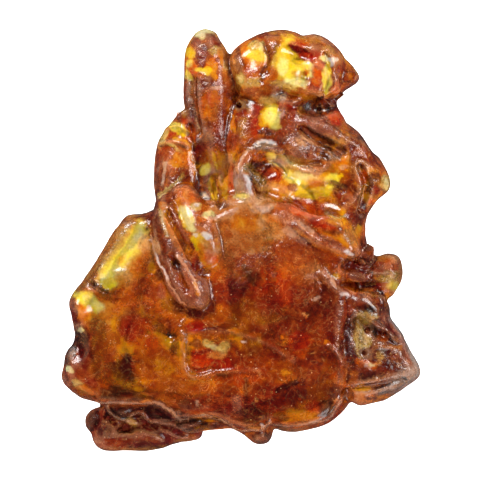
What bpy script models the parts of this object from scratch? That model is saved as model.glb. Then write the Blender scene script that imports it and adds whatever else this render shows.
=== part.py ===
"""A lump of raw, part-polished copal with small insects sealed in it.

The lump lies on its back on a small flat spot. +Z points up out of the smooth face, +Y along
the lump towards its drip-shaped spike, +X to the right of somebody looking down on the face.
The origin is at the middle of the box around the lump, on the surface it rests on.

The copal grew as one piece. It is parted in two along one slanted plane, only so that the
sealed insects have open pockets to lie in. Shapes are worked out in millimetres and are put
into metres as they become objects.
"""
import math
from dataclasses import dataclass

import bmesh
import bpy
import numpy as np
from mathutils import Matrix, Vector, noise

MM = 0.001

# Overall sizes, in millimetres
WIDTH = 71.9
LENGTH = 84.6
HEIGHT = 34.6

# The copal's skin
VOXEL = 0.6
SMOOTHING_ROUNDS = 3
LUMP_TRIANGLES = 5600
EVEN_SHARE = 0.5
PLAIN_SHARE = 0.15
RESTING_CUT = 1.2
RIPPLE_HEIGHT = 0.35
RIPPLE_LENGTH = 6.0
SIDE_HOLLOW = 2.2
SIDE_HOLLOW_LENGTH = 8.0

# How steeply the skin may lean before a mark on one side no longer reaches it
FACING_START = -0.15
FACING_SPAN = 0.5

# The plane that parts the two halves: its height at one place and how it falls towards +Y
PARTING_HEIGHT = 25.6
PARTING_AT_Y = -28.0
PARTING_FALL = 0.085
PARTING_GAP = 0.3
POCKET_CLEARANCE = 0.5
FAR = 60.0

SPLINE_STEPS = 4
DRIP_STEPS = 10
EDGE_STEPS = 4


@dataclass(frozen=True)
class Lobe:
    """A rounded slab of copal: an outline seen from the front, between two heights."""

    name: str
    outline: tuple
    low: float
    high: float
    edge: float
    rim: float
    crown: float = 0.0
    slope: tuple = (0.0, 0.0)


@dataclass(frozen=True)
class Drip:
    """A run of resin: places along its middle, each with a height and a radius."""

    name: str
    run: tuple


@dataclass(frozen=True)
class Stroke:
    """A raised ridge, or a groove where the height is below zero, along a path."""

    name: str
    path: tuple
    width: float
    height: float
    facing: int = 1


@dataclass(frozen=True)
class Dent:
    """An oval hollow, or a swelling where the depth is below zero."""

    name: str
    centre: tuple
    radii: tuple
    depth: float
    turn: float = 0.0
    facing: int = 1


@dataclass(frozen=True)
class Burrow:
    """A small round hole that narrows as it goes in."""

    name: str
    mouth: tuple
    heading: tuple
    radius: float
    depth: float


LOBES = (
    Lobe("heart", ((-21, 2), (-28, -12), (-29, -26), (-17, -32), (2, -34), (17, -32), (27, -22),
                   (26, -4), (21, 14), (12, 24), (0, 25), (-9, 17), (-16, 9)),
         low=3.2, high=24, edge=9.5, rim=11),
    Lobe("face slab", ((-16.5, 7), (-19.7, 5.7), (-23.7, 4.9), (-27.2, -0.5), (-31.3, -7.3), (-34.4, -11.9),
                       (-34, -15.5), (-34.1, -19.9), (-35.2, -22.3), (-36.1, -27.3), (-33.8, -30.3),
                       (-28.6, -33), (-18.3, -32.9), (-14, -34.5), (-11.9, -36), (-5.3, -36),
                       (-1.9, -37), (4.1, -38), (7, -37.4), (12.5, -38.4), (17.9, -36.2),
                       (21, -32.2), (22, -27), (21.8, -19), (22.4, -13), (21.6, -9), (22, -5),
                       (24.6, -1.5), (19.7, 6),
                       (11, 9), (0, 10), (-10, 8)),
         low=15, high=29.4, edge=4.5, rim=2.6, crown=1.6, slope=(0.03, 0.0)),
    Lobe("foot lobe", ((-29.4, -35.6), (-27.5, -32.8), (-18, -31.5), (-8, -34), (-7.2, -38.4),
                       (-9, -41), (-14, -41.8), (-19, -42.5), (-27.6, -42.5), (-30.2, -39.9)),
         low=4, high=14.5, edge=5, rim=4.5, slope=(-0.04, 0.05)),
    Lobe("foot ledge", ((-28.5, -31), (-27.5, -34), (-24, -36.6), (-20.5, -35.4), (-17, -37.2),
                        (-10, -37), (-6, -31), (-17, -28)),
         low=10.5, high=19, edge=3.4, rim=3),
    Lobe("foot step", ((-14, -34), (-12, -38.4), (-7.5, -39), (-3, -38.2), (0.5, -37.6), (1, -32),
                       (-7, -29)),
         low=11, high=20.5, edge=3.4, rim=3),
    Lobe("drip under the rim", ((-2.4, -36.8), (0.9, -39.2), (3.2, -41), (5.8, -40.8), (6.8, -38.6),
                                (6.2, -35.5), (2, -33)),
         low=13, high=23.5, edge=3.6, rim=3),
    Lobe("fringe", ((5.6, -36), (8.5, -38.4), (13, -38.3), (18.4, -36.5), (22, -33.2), (22.3, -28),
                    (13, -29), (7, -31)),
         low=12.5, high=24.5, edge=4, rim=3.5),
    Lobe("corner block", ((20, -30.5), (22.8, -32.4), (25.6, -33.6), (29, -32.4), (33.2, -29.8),
                          (36.7, -26.8), (35.2, -22.6), (33, -18.6), (30.6, -15.4), (29.8, -12),
                          (24, -9), (17, -14), (16, -26)),
         low=6, high=26.6, edge=6, rim=2.6, slope=(-0.26, 0.06)),
    Lobe("lug", ((22, -2.4), (27, -2.5), (31.8, -2.7), (33.1, -6), (32.4, -9), (30.3, -11.7),
                 (23, -13)),
         low=12, high=21.5, edge=3.8, rim=3.2),
    Lobe("shoulder", ((19.5, 25), (24, 22.5), (28.8, 16.6), (30.6, 11.2), (27.6, 8.2), (25.7, 5),
                      (26.5, 1.8), (26.9, -0.6), (27.6, -3), (24, -6), (8, -4), (4, 8), (6, 20),
                      (12, 26)),
         low=8, high=26.5, edge=7, rim=5.5, slope=(-0.1, 0)),
    Lobe("neck", ((-0.5, 30), (7, 31), (18, 28.8), (21.2, 25.4), (21.5, 20), (19, 14), (10, 12),
                  (0, 13), (-4, 20)),
         low=7.5, high=27, edge=7, rim=6, slope=(0, -0.06)),
    Lobe("crown", ((-2.2, 36.2), (0.1, 40.2), (4.4, 42.3), (8, 43.1), (11.2, 42.6), (12.9, 41.9), (15, 42.2),
                   (17.5, 41.4), (20.3, 39), (21.4, 36), (20, 30), (18.8, 26.6), (8, 25), (0.6, 28.5)),
         low=8.5, high=26.4, edge=6, rim=3.4, crown=0.8),
    Lobe("crown knob", ((17, 38), (20.9, 37.4), (23.4, 35.2), (24.3, 33), (21.6, 30.7), (20, 28.4),
                        (15, 31)),
         low=11, high=22.5, edge=4.5, rim=3.5),
    Lobe("side lobe", ((-17.2, 10), (-17.3, 13.4), (-16.7, 19.6), (-14.3, 23.7), (-11, 27.2),
                       (-8.6, 24.6), (-7.5, 17), (-7, 9), (-11, 4), (-16, 5)),
         low=10.5, high=25, edge=6, rim=4.2, slope=(0.05, -0.05)),
    Lobe("window shelf", ((3, 19), (9, 16), (18, 15), (24, 17), (27, 13), (24, 6), (14, 4), (5, 7)),
         low=10, high=24, edge=5, rim=5),
    Lobe("back boss", ((-20, -12), (-15, -2), (-5, 0), (1, -9), (-2, -20), (-12, -23)),
         low=-1.2, high=12, edge=6, rim=6.5),
    Lobe("back rib", ((3, 17), (10, 19), (15, 8), (16, -10), (12, -22), (6, -20), (5, -4)),
         low=-1.2, high=14, edge=7, rim=5),
)

DRIPS = (
    Drip("spike", ((-5.6, 7, 19, 4.8), (-5.7, 16, 20.5, 4.7), (-6, 24, 21, 4.9), (-6.3, 31, 21, 5.3),
                   (-6.6, 36.2, 20.6, 4.9), (-6.8, 39.3, 20.4, 3.9), (-7.3, 41.2, 20.4, 1.8))),
    Drip("long finger", ((-14.6, 7.4, 25, 2.8), (-14.3, 3.5, 28, 3.8), (-12.7, -1.5, 29.4, 4.2),
                         (-11.1, -6.5, 30.6, 4.3), (-9.6, -10, 31.2, 3.9), (-9, -11.4, 31, 2.9))),
    Drip("golden drop", ((-11.2, 9, 25.5, 3), (-8.8, 4, 28.2, 3.9), (-6.9, -1.5, 29, 3.6),
                         (-6, -4, 28.6, 2.6))),
    Drip("bridge", ((-3, 32, 17, 3.2), (-0.5, 29.5, 17.5, 3.2), (1, 26, 18, 3.6), (1, 20, 19.5, 4.2))),
    Drip("brow", ((10, 23.8, 24.4, 2), (14, 23.9, 25.6, 2.1), (18.5, 21.9, 25, 2.3), (23.5, 18.7, 22.8, 2.8),
                  (27, 14, 19.5, 2.6))),
    Drip("shoulder nub", ((19, 21, 20, 2.4), (23.4, 21.4, 19, 1.4))),
    Drip("silver lip", ((2.2, 18.6, 26.2, 1), (4.6, 19.2, 26.9, 1.2), (7.4, 18.8, 26.4, 0.9))),
    Drip("pocket rim", ((2.6, 17.8, 25.6, 1.9), (0.6, 15, 26.6, 2), (1.2, 10.6, 27.4, 2.1),
                        (3.4, 6.6, 28, 2.2), (9, 4, 28.2, 2.4), (15, 1, 28.2, 2.4), (20.5, -2, 27, 2.2))),
    Drip("lug ridge", ((20, -6, 24.6, 1.6), (23.6, -7, 22, 1.5), (26.4, -7, 19.6, 1.4))),
    Drip("cheek ridge", ((16.8, -6, 28.6, 1.3), (18.6, -8.4, 28.8, 1.6), (20.6, -10.8, 27.6, 1.9),
                         (24.6, -12, 25.4, 2), (28.2, -11.8, 22.6, 1.9))),
    Drip("block ridge", ((20.6, -12.5, 26.4, 2.5), (21, -18, 25.9, 2.7), (21, -24, 25.6, 2.7),
                         (20.2, -29.5, 24.6, 2.4))),
    Drip("foot roll", ((-28.5, -36.5, 10, 3.2), (-23, -39.6, 9.5, 3), (-15, -39, 10, 3.2),
                       (-10.5, -37.4, 11.5, 2.6))),
    Drip("back trail", ((12, 31, 10, 3), (5, 24, 6, 3.2), (-3, 13, 4.2, 3.4), (-12, 5, 5, 3.2),
                        (-22, -5, 8, 3))),
    Drip("back drop", ((21, 9, 9, 3), (22.5, -2, 6, 3), (22, -12, 5, 3.2), (17, -20, 4.6, 2.8))),
    Drip("back spine", ((-25, -14, 10, 3.4), (-23, -22, 7.5, 3.4), (-14, -28, 6, 3.4), (2, -30, 6, 3),
                        (10, -28, 6.4, 2.6))),
)

STROKES = (
    Stroke("furrow beside the finger", ((-14.5, 6), (-12.3, 2), (-10.3, -1.5), (-8.6, -4.6), (-7, -6.4)),
           1.1, -1.6),
    Stroke("trough down the finger", ((-13.6, -3), (-12.2, -7), (-10.8, -9.6)), 1.1, -1.0),
    Stroke("face rim", ((-28, -32.2), (-18, -32.4), (-13.4, -34.6), (-11, -35.6), (-5, -35.2),
                        (-1, -36.6), (4, -37.6)), 1.3, 0.7),
    Stroke("scar rim", ((-11.3, -18.6), (-11.1, -26), (-8.5, -27.4), (-2.3, -26.2), (4, -26)), 0.8, 0.4),
    Stroke("scar upper edge", ((-11.3, -18.6), (-6, -18), (0, -18.6), (6, -21), (11, -24.4)), 0.8, 0.25),
    Stroke("chin crease", ((12.4, 23), (14.2, 21.6), (16.4, 20.4), (18.8, 19.2), (20.8, 18.2)), 1.2, -1.5),
    Stroke("lip crease", ((9.2, 18), (11, 16.4), (13.6, 15.6), (16.4, 16)), 1.1, -1.2),
    Stroke("crown crease", ((8.6, 30.4), (11, 29.6), (14, 29.2), (19, 29)), 1.4, -1.3),
    Stroke("crown furrow", ((4.6, 41), (5.8, 37.6), (5.4, 34.6)), 1.0, -0.8),
    Stroke("shoulder crease", ((24.6, 15.2), (25.7, 12), (25.4, 8.8), (24.8, 6.4)), 1.1, -1.3),
    Stroke("horn edge", ((15.6, 36.2), (18.6, 34), (19.6, 31)), 1.2, 0.7),
    Stroke("knob furrow", ((17.6, 38), (18.4, 34), (17.4, 30.6)), 1.1, -0.9),
    Stroke("spike furrow", ((-9.6, 33), (-9.2, 27), (-8.2, 22)), 1.0, -0.9),
    Stroke("side lips", ((-15.8, 19.8), (-13, 20.4), (-10.4, 19.4)), 0.9, 0.7),
    Stroke("upper side lips", ((-14.8, 22.8), (-12.4, 23.4), (-10.2, 22.2)), 0.8, 0.6),
    Stroke("silver ridge", ((11.7, 3.5), (15.7, 0), (18.7, -1.2), (21.5, -2.2)), 1.2, 0.8),
    Stroke("cheek ridge", ((16.5, -6.3), (18.5, -8.6), (20.5, -10.5)), 1.1, 0.8),
    Stroke("block crease", ((23, -29.5), (28, -29), (33, -28)), 1.0, -0.8),
    Stroke("block furrow", ((24, -16), (28, -18.5), (32, -21)), 1.2, -1.0),
    Stroke("foot groove", ((-27, -35.6), (-22, -38), (-16, -37.4), (-11, -37)), 1.0, -1.2),
    Stroke("back furrow", ((-12, 14), (-6, 10), (-3, 3), (3, -1), (4, -8), (9, -16)), 2.6, -1.1, facing=-1),
    Stroke("back fold", ((-26, -20), (-20, -15), (-13, -14), (-8, -17), (-6, -26)), 2.2, -0.9, facing=-1),
    Stroke("back crown crease", ((-1, 33), (8, 29), (20, 31)), 1.6, -1.2, facing=-1),
)

DENTS = (
    Dent("lit pocket", (8, 14.5), (7, 4.2), 3.4, turn=-20),
    Dent("window bay", (16, 8.5), (6.5, 4.4), 2.4, turn=-8),
    Dent("throat", (14.8, 27.4), (4.4, 2.2), 2.8, turn=-6),
    Dent("rock above the pocket", (11.6, 19), (3, 2.4), -1.2, turn=-30),
    Dent("hollow beside the rock", (17, 18), (2.2, 1.4), 1.1, turn=-14),
    Dent("upper lug hollow", (22.6, -4.8), (2.8, 1.5), 1.2, turn=6),
    Dent("lower lug hollow", (24.4, -9.2), (2.8, 1.1), 1.2),
    Dent("red pocket", (28.7, -18.5), (2, 1.7), 1.1, turn=10),
    Dent("spike root", (-4.6, 10.6), (2.6, 4.2), 1.6, turn=12),
    Dent("pale cup", (13.5, 34), (2.6, 2.6), 0.9),
    Dent("heart-shaped dip", (11.9, 38), (4.2, 2.2), 1.2, turn=-22),
    Dent("left facet", (2, 37.6), (3.4, 4), 0.7, turn=20),
    Dent("side of the face", (-31, -12), (3.2, 3), 0.8),
    Dent("burnt edge", (-33, -21), (2.4, 4), 1.3),
    Dent("gnawed patch", (25, -18.8), (2.6, 5.4), 1.7, turn=8),
    Dent("notch by the block", (21.8, -31), (1.6, 1.8), 1.6),
    Dent("foot hollow", (-22.8, -38), (2.8, 1.3), 1.8),
    Dent("face swell", (8, -8), (12, 9), -0.8, turn=30),
    Dent("left window", (-25, -4), (3.4, 6.4), 0.5, turn=-35),
    Dent("back hollow", (-16, 2), (5, 7), 1.8, turn=40, facing=-1),
    Dent("back cup", (21, -26), (6, 5), 1.6, turn=20, facing=-1),
    Dent("back bay", (-21, -22), (5, 4), 1.5, turn=-20, facing=-1),
    Dent("back swell", (2, -26), (7, 4), -1.2, turn=10, facing=-1),
    Dent("back knuckle", (22, 12), (4, 6), -1.0, turn=30, facing=-1),
    Dent("crown hollow behind", (10, 36), (6, 4), 1.4, turn=-10, facing=-1),
)

BURROWS = (
    Burrow("bridge hole", (-0.7, 27, 26), (0.05, 0, -1), 1.0, 12),
    Burrow("throat hole", (15.5, 26, 28), (0, 0.05, -1), 1.0, 12),
    Burrow("upper borehole", (25.5, -18.1, 28), (-0.1, 0.05, -1), 1.2, 10),
    Burrow("middle borehole", (28.6, -18.6, 28), (0, 0, -1), 0.8, 9),
    Burrow("lower borehole", (24.8, -22.3, 28), (-0.1, -0.05, -1), 1.0, 10),
)


@dataclass(frozen=True)
class Insect:
    """One small animal, at a place seen from the front, with its length along its body."""

    name: str
    centre: tuple
    heading: float
    length: float
    body: tuple
    legs: int
    wings: tuple
    feelers: float


# A body part is (along, width, height, length) as shares of the insect's length. A wing is
# (along, reach, breadth, sweep in degrees).
BEETLE = ((0.40, 0.30, 0.22, 0.22), (0.20, 0.42, 0.30, 0.26), (-0.16, 0.56, 0.38, 0.66))
ANT = ((0.38, 0.24, 0.20, 0.26), (0.12, 0.17, 0.17, 0.30), (-0.10, 0.09, 0.10, 0.16),
       (-0.31, 0.30, 0.26, 0.38))
BEE = ((0.38, 0.30, 0.26, 0.20), (0.12, 0.36, 0.34, 0.36), (-0.25, 0.32, 0.30, 0.52))
GNAT = ((0.40, 0.17, 0.16, 0.16), (0.20, 0.24, 0.26, 0.28), (-0.20, 0.15, 0.15, 0.60))
TERMITE = ((0.38, 0.28, 0.20, 0.28), (0.10, 0.22, 0.18, 0.30), (-0.22, 0.30, 0.24, 0.56))

INSECTS = (
    Insect("bee", (-23.6, -25.2), 62, 6.0, BEE, 3, ((0.14, 0.72, 0.26, 128), (0.06, 0.52, 0.20, 148)), 0.26),
    Insect("gnat", (-14.2, -18.8), -12, 3.2, GNAT, 3, ((0.18, 0.62, 0.24, 140),), 0.20),
    Insect("beetle", (-26.6, -9.2), -38, 4.2, BEETLE, 3, (), 0.24),
    Insect("ant", (1.6, -7.0), -62, 4.8, ANT, 3, (), 0.34),
    Insect("termite", (9.0, -29.0), 24, 5.0, TERMITE, 3, (), 0.30),
)
INSECT_VOXEL = 0.11
INSECT_TRIANGLES = 340
LEG_RADIUS = 0.15
WING_THICKNESS = 0.26

# Places on a limb, as shares of the insect's length: how far it sweeps along the body, how far
# out it reaches, and how high it is
LIMB_ROOT = 0.3
KNEE = (0.10, 0.26, 0.08)
FOOT = (0.24, 0.42, -0.10)
FEELER_ROOT = 0.04
FEELER_BEND = (0.5, 0.14, 0.04)
FEELER_TIP = (0.7, 0.24, 0.0)
WING_LIFT = 0.10

# A burrow's inner end as a share of its mouth, and its sides
BURROW_TAPER = 0.5
BURROW_SIDES = 8


def clear_scene():
    """Remove every object that the file starts with."""
    for thing in list(bpy.data.objects):
        bpy.data.objects.remove(thing, do_unlink=True)


def material(name, colour, roughness, transmission=0.0):
    """Return a Principled material with a name a person would use."""
    made = bpy.data.materials.new(name)
    made.use_nodes = True
    shader = made.node_tree.nodes["Principled BSDF"]
    shader.inputs["Base Color"].default_value = (*colour, 1.0)
    shader.inputs["Roughness"].default_value = roughness
    shader.inputs["Metallic"].default_value = 0.0
    shader.inputs["IOR"].default_value = 1.54
    shader.inputs["Transmission Weight"].default_value = transmission
    return made


def spline(points, closed, steps=SPLINE_STEPS):
    """Return points along a smooth curve that passes through every given point."""
    places = np.array(points, dtype=float)
    count = len(places)
    spans = count if closed else count - 1
    found = []
    for index in range(spans):
        if closed:
            before, start, end, after = (places[(index + shift) % count] for shift in (-1, 0, 1, 2))
        else:
            start, end = places[index], places[index + 1]
            before = places[index - 1] if index else 2 * start - end
            after = places[index + 2] if index + 2 < count else 2 * end - start
        for step in range(steps):
            t = step / steps
            found.append(0.5 * (2 * start + (end - before) * t
                                + (2 * before - 5 * start + 4 * end - after) * t ** 2
                                + (3 * start - before - 3 * end + after) * t ** 3))
    if not closed:
        found.append(places[-1])
    return np.array(found)


def round_cap(bm, face, rim, edge):
    """Round one flat end of a slab over, in rings that run in by rim and out by edge."""
    for step in range(EDGE_STEPS):
        start = math.radians(90 * step / EDGE_STEPS)
        end = math.radians(90 * (step + 1) / EDGE_STEPS)
        bmesh.ops.inset_region(bm, faces=[face], thickness=rim * (math.cos(start) - math.cos(end)),
                               depth=edge * (math.sin(end) - math.sin(start)), use_even_offset=False)
    return face


def add_lobe(bm, lobe):
    """Add one rounded slab to the mesh."""
    outline = spline(lobe.outline, closed=True)
    before = set(bm.verts)
    lower = lobe.low + lobe.edge
    upper = lobe.high - lobe.edge
    ring = [bm.verts.new((x, y, lower)) for x, y in outline]
    floor = bm.faces.new(ring)
    grown = bmesh.ops.extrude_face_region(bm, geom=[floor])["geom"]
    roof = next(item for item in grown if isinstance(item, bmesh.types.BMFace))
    bmesh.ops.translate(bm, vec=(0, 0, max(upper - lower, 0.1)), verts=roof.verts)
    new_faces = {face for vert in bm.verts if vert not in before for face in vert.link_faces}
    bmesh.ops.recalc_face_normals(bm, faces=list(new_faces))
    round_cap(bm, floor, lobe.rim, lobe.edge)
    round_cap(bm, roof, lobe.rim, lobe.edge)
    bmesh.ops.poke(bm, faces=[roof], offset=lobe.crown)
    middle = outline.mean(axis=0)
    for vert in bm.verts:
        if vert not in before:
            share = (vert.co.z - lobe.low) / (lobe.high - lobe.low)
            rise = lobe.slope[0] * (vert.co.x - middle[0]) + lobe.slope[1] * (vert.co.y - middle[1])
            vert.co.z += share * rise


def add_ball(bm, centre, radii, turn=Matrix.Identity(4), rings=2):
    """Add an oval ball to the mesh."""
    place = Matrix.Translation(centre) @ turn @ Matrix.Diagonal((*radii, 1.0))
    bmesh.ops.create_icosphere(bm, subdivisions=rings, radius=1.0, matrix=place)


def add_drip(bm, drip):
    """Add a run of resin to the mesh, as balls that melt into each other."""
    for x, y, z, radius in spline(drip.run, closed=False, steps=DRIP_STEPS):
        add_ball(bm, (x, y, z), (radius, radius, radius))


def object_from(bm, name, look=None, scale=1.0):
    """Turn a mesh under construction into an object, and free it."""
    bmesh.ops.scale(bm, vec=(scale, scale, scale), verts=bm.verts)
    mesh = bpy.data.meshes.new(name)
    bm.to_mesh(mesh)
    bm.free()
    made = bpy.data.objects.new(name, mesh)
    bpy.context.collection.objects.link(made)
    if look is not None:
        mesh.materials.append(look)
    return made


def settle(thing):
    """Replace an object's mesh by what its modifiers make of it."""
    graph = bpy.context.evaluated_depsgraph_get()
    finished = bpy.data.meshes.new_from_object(thing.evaluated_get(graph), depsgraph=graph)
    thing.modifiers.clear()
    thing.data = finished


def fuse(thing, voxel):
    """Melt an object's overlapping bodies into one skin of even small faces."""
    remesh = thing.modifiers.new("skin", "REMESH")
    remesh.mode = "VOXEL"
    remesh.voxel_size = voxel
    settle(thing)


def thin_out(thing, triangles, plain_share=0.0):
    """Bring a mesh down to about so many triangles, with more of them where it faces the front."""
    split = thing.modifiers.new("triangles", "TRIANGULATE")
    split.min_vertices = 4
    settle(thing)
    plain = thing.vertex_groups.new(name="plain")
    _, normals = skin_arrays(thing.data)
    for index, share in enumerate(1 - facing_share(normals, 1)):
        plain.add([index], EVEN_SHARE + plain_share * share, "REPLACE")
    fewer = thing.modifiers.new("fewer faces", "DECIMATE")
    fewer.ratio = min(1.0, triangles / len(thing.data.polygons))
    fewer.vertex_group = plain.name
    settle(thing)
    thing.vertex_groups.clear()


def carve(thing, cutter, operation):
    """Apply one exact Boolean to an object and remove the cutter."""
    cut = thing.modifiers.new("cut", "BOOLEAN")
    cut.operation = operation
    cut.solver = "EXACT"
    cut.object = cutter
    settle(thing)
    bpy.data.objects.remove(cutter, do_unlink=True)


def distance_to_path(places, path):
    """Return how far each place, seen from the front, lies from a smooth path."""
    line = spline(path, closed=False)
    nearest = np.full(len(places), np.inf)
    for start, end in zip(line[:-1], line[1:]):
        run = end - start
        along = np.clip((places - start) @ run / max(run @ run, 1e-9), 0, 1)
        nearest = np.minimum(nearest, np.linalg.norm(places - (start + along[:, None] * run), axis=1))
    return nearest


def bell(share):
    """Return a soft bump: 1 at a share of 0, falling to 0 at a share of 1."""
    return np.clip(1 - share ** 2, 0, 1) ** 2


def facing_share(normals, facing):
    """Return how far each point of the skin faces the front (1) or the back (-1)."""
    return np.clip((normals[:, 2] * facing - FACING_START) / FACING_SPAN, 0, 1)


def cloud(points, length):
    """Return a smooth random height between about -1 and 1 at each point."""
    return np.array([noise.noise(Vector(place) / length) for place in points])


def skin_arrays(mesh):
    """Return a mesh's points and the skin's directions there."""
    points = np.empty(len(mesh.vertices) * 3)
    mesh.vertices.foreach_get("co", points)
    normals = np.empty(len(mesh.vertices) * 3)
    mesh.vertex_normals.foreach_get("vector", normals)
    return points.reshape(-1, 3), normals.reshape(-1, 3)


def work_skin(thing):
    """Press the strokes, dents and ripples into the skin."""
    points, normals = skin_arrays(thing.data)
    flat = points[:, :2]
    lift = np.zeros(len(points))
    for stroke in STROKES:
        near = bell(distance_to_path(flat, stroke.path) / stroke.width)
        lift += stroke.height * near * facing_share(normals, stroke.facing)
    for dent in DENTS:
        angle = math.radians(dent.turn)
        turned = np.array(((math.cos(angle), math.sin(angle)), (-math.sin(angle), math.cos(angle))))
        share = np.linalg.norm((flat - dent.centre) @ turned.T / dent.radii, axis=1)
        lift -= dent.depth * bell(share) * facing_share(normals, dent.facing)
    lift += RIPPLE_HEIGHT * cloud(points, RIPPLE_LENGTH)
    steepness = 1 - np.abs(normals[:, 2])
    lift -= SIDE_HOLLOW * steepness * np.clip(cloud(points, SIDE_HOLLOW_LENGTH), 0, 1)
    points += normals * lift[:, None]
    thing.data.vertices.foreach_set("co", points.ravel())
    thing.data.update()


def smooth_skin(thing, rounds):
    """Relax the skin a little."""
    relax = thing.modifiers.new("relax", "SMOOTH")
    relax.factor = 0.5
    relax.iterations = rounds
    settle(thing)


def big_box(name, low, high):
    """Return a box between two corners."""
    bm = bmesh.new()
    middle = (Vector(low) + Vector(high)) / 2
    size = Vector(high) - Vector(low)
    bmesh.ops.create_cube(bm, size=1.0, matrix=Matrix.Translation(middle) @ Matrix.Diagonal((*size, 1.0)))
    return object_from(bm, name)


def parting_z(y):
    """Return the height of the parting plane at a place along the lump."""
    return PARTING_HEIGHT - PARTING_FALL * (y - PARTING_AT_Y)


def half_space(name, side):
    """Return a block that holds everything on one side of the parting plane."""
    block = big_box(name, (-FAR, -FAR, 0), (FAR, FAR, FAR))
    tilt = Matrix.Rotation(-math.atan(PARTING_FALL), 4, "X")
    flip = Matrix.Identity(4) if side > 0 else Matrix.Rotation(math.pi, 4, "X")
    shift = Matrix.Translation((0, 0, PARTING_GAP / 2))
    block.data.transform(Matrix.Translation((0, 0, parting_z(0))) @ tilt @ flip @ shift)
    return block


def make_lump():
    """Return the whole lump as one skin, before it is parted."""
    bm = bmesh.new()
    for lobe in LOBES:
        add_lobe(bm, lobe)
    for drip in DRIPS:
        add_drip(bm, drip)
    lump = object_from(bm, "lump")
    fuse(lump, VOXEL)
    smooth_skin(lump, SMOOTHING_ROUNDS)
    work_skin(lump)
    smooth_skin(lump, 1)
    return lump


def fit_to_size(lump):
    """Give the lump exactly its overall sizes, resting at height zero on its flat spot."""
    points, _ = skin_arrays(lump.data)
    low, high = points.min(axis=0), points.max(axis=0)
    low[2] += RESTING_CUT
    stretch = np.array((WIDTH, LENGTH, HEIGHT)) / (high - low)
    middle = np.array(((low[0] + high[0]) / 2, (low[1] + high[1]) / 2, low[2]))
    points = (points - middle) * stretch
    lump.data.vertices.foreach_set("co", points.ravel())
    lump.data.update()


def cut_flat_spot(lump):
    """Slice off what hangs below height zero, which leaves the flat spot."""
    bm = bmesh.new()
    bm.from_mesh(lump.data)
    everything = bm.verts[:] + bm.edges[:] + bm.faces[:]
    cut = bmesh.ops.bisect_plane(bm, geom=everything, dist=1e-4, plane_co=(0, 0, 0), plane_no=(0, 0, -1),
                                 clear_outer=True)["geom_cut"]
    rim = [item for item in cut if isinstance(item, bmesh.types.BMEdge)]
    bmesh.ops.holes_fill(bm, edges=rim, sides=0)
    bmesh.ops.triangulate(bm, faces=bm.faces)
    bmesh.ops.recalc_face_normals(bm, faces=bm.faces)
    bm.to_mesh(lump.data)
    bm.free()


def bore(lump):
    """Cut the small round holes."""
    for burrow in BURROWS:
        bm = bmesh.new()
        bmesh.ops.create_cone(bm, cap_ends=True, segments=BURROW_SIDES, radius1=burrow.radius * BURROW_TAPER,
                              radius2=burrow.radius, depth=burrow.depth)
        aim = Vector((-burrow.heading[0], -burrow.heading[1], -burrow.heading[2])).to_track_quat("Z", "Y")
        bm.transform(Matrix.Translation(burrow.mouth) @ aim.to_matrix().to_4x4())
        carve(lump, object_from(bm, burrow.name), "DIFFERENCE")


def keep_largest_body(thing):
    """Drop the chips that a cut left loose beside the main body."""
    bm = bmesh.new()
    bm.from_mesh(thing.data)
    waiting = set(bm.faces)
    bodies = []
    while waiting:
        body = [waiting.pop()]
        for face in body:
            for edge in face.edges:
                for other in edge.link_faces:
                    if other in waiting:
                        waiting.remove(other)
                        body.append(other)
        bodies.append(body)
    bodies.sort(key=len)
    for body in bodies[:-1]:
        bmesh.ops.delete(bm, geom=body, context="FACES")
    bm.to_mesh(thing.data)
    bm.free()


def insect_frame(insect):
    """Return the place of an insect: on the parting plane, turned to its heading."""
    x, y = insect.centre
    tilt = Matrix.Rotation(-math.atan(PARTING_FALL), 4, "X")
    turn = Matrix.Rotation(math.radians(insect.heading), 4, "Z")
    return Matrix.Translation((x, y, parting_z(y))) @ tilt @ turn


def add_limb(bm, joints, radius):
    """Add a thin limb as a row of small balls between its joints."""
    for start, end in zip(joints[:-1], joints[1:]):
        start, end = Vector(start), Vector(end)
        steps = max(2, round((end - start).length / (radius * 1.1)))
        for step in range(steps + 1):
            add_ball(bm, start.lerp(end, step / steps), (radius,) * 3, rings=1)


def add_legs(bm, insect):
    """Add the pairs of bent legs, which leave from the middle part of the body."""
    size = insect.length
    thorax = insect.body[1]
    for pair in range(insect.legs):
        sweep = pair - 1
        root = thorax[0] - sweep * thorax[3] * LIMB_ROOT
        for side in (-1, 1):
            joints = [((root - sweep * along) * size, side * out * size, up * size)
                      for along, out, up in (KNEE, FOOT)]
            add_limb(bm, [(root * size, 0, 0), *joints], LEG_RADIUS)


def add_wings(bm, insect):
    """Add thin oval wings, spread to both sides."""
    size = insect.length
    for along, reach, breadth, sweep in insect.wings:
        for side in (-1, 1):
            angle = side * math.radians(sweep)
            centre = (along * size + math.cos(angle) * reach * size / 2, math.sin(angle) * reach * size / 2,
                      WING_LIFT * size)
            radii = (reach * size / 2, breadth * size / 2, WING_THICKNESS / 2)
            add_ball(bm, centre, radii, Matrix.Rotation(angle, 4, "Z"))


def make_insect(insect, look):
    """Return one insect as a closed solid: body, legs, feelers and wings grown together."""
    size = insect.length
    bm = bmesh.new()
    for along, width, height, length in insect.body:
        add_ball(bm, (along * size, 0, 0), (length * size / 2, width * size / 2, height * size / 2))
    add_legs(bm, insect)
    head = insect.body[0][0] + insect.body[0][3] * LIMB_ROOT
    for side in (-1, 1):
        joints = [((head + insect.feelers * along) * size, side * out * size, up * size)
                  for along, out, up in (FEELER_BEND, FEELER_TIP)]
        add_limb(bm, [(head * size, side * FEELER_ROOT * size, 0), *joints], LEG_RADIUS)
    add_wings(bm, insect)
    made = object_from(bm, insect.name)
    fuse(made, INSECT_VOXEL)
    thin_out(made, INSECT_TRIANGLES)
    made.data.transform(insect_frame(insect))
    made.data.materials.append(look)
    return made


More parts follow.
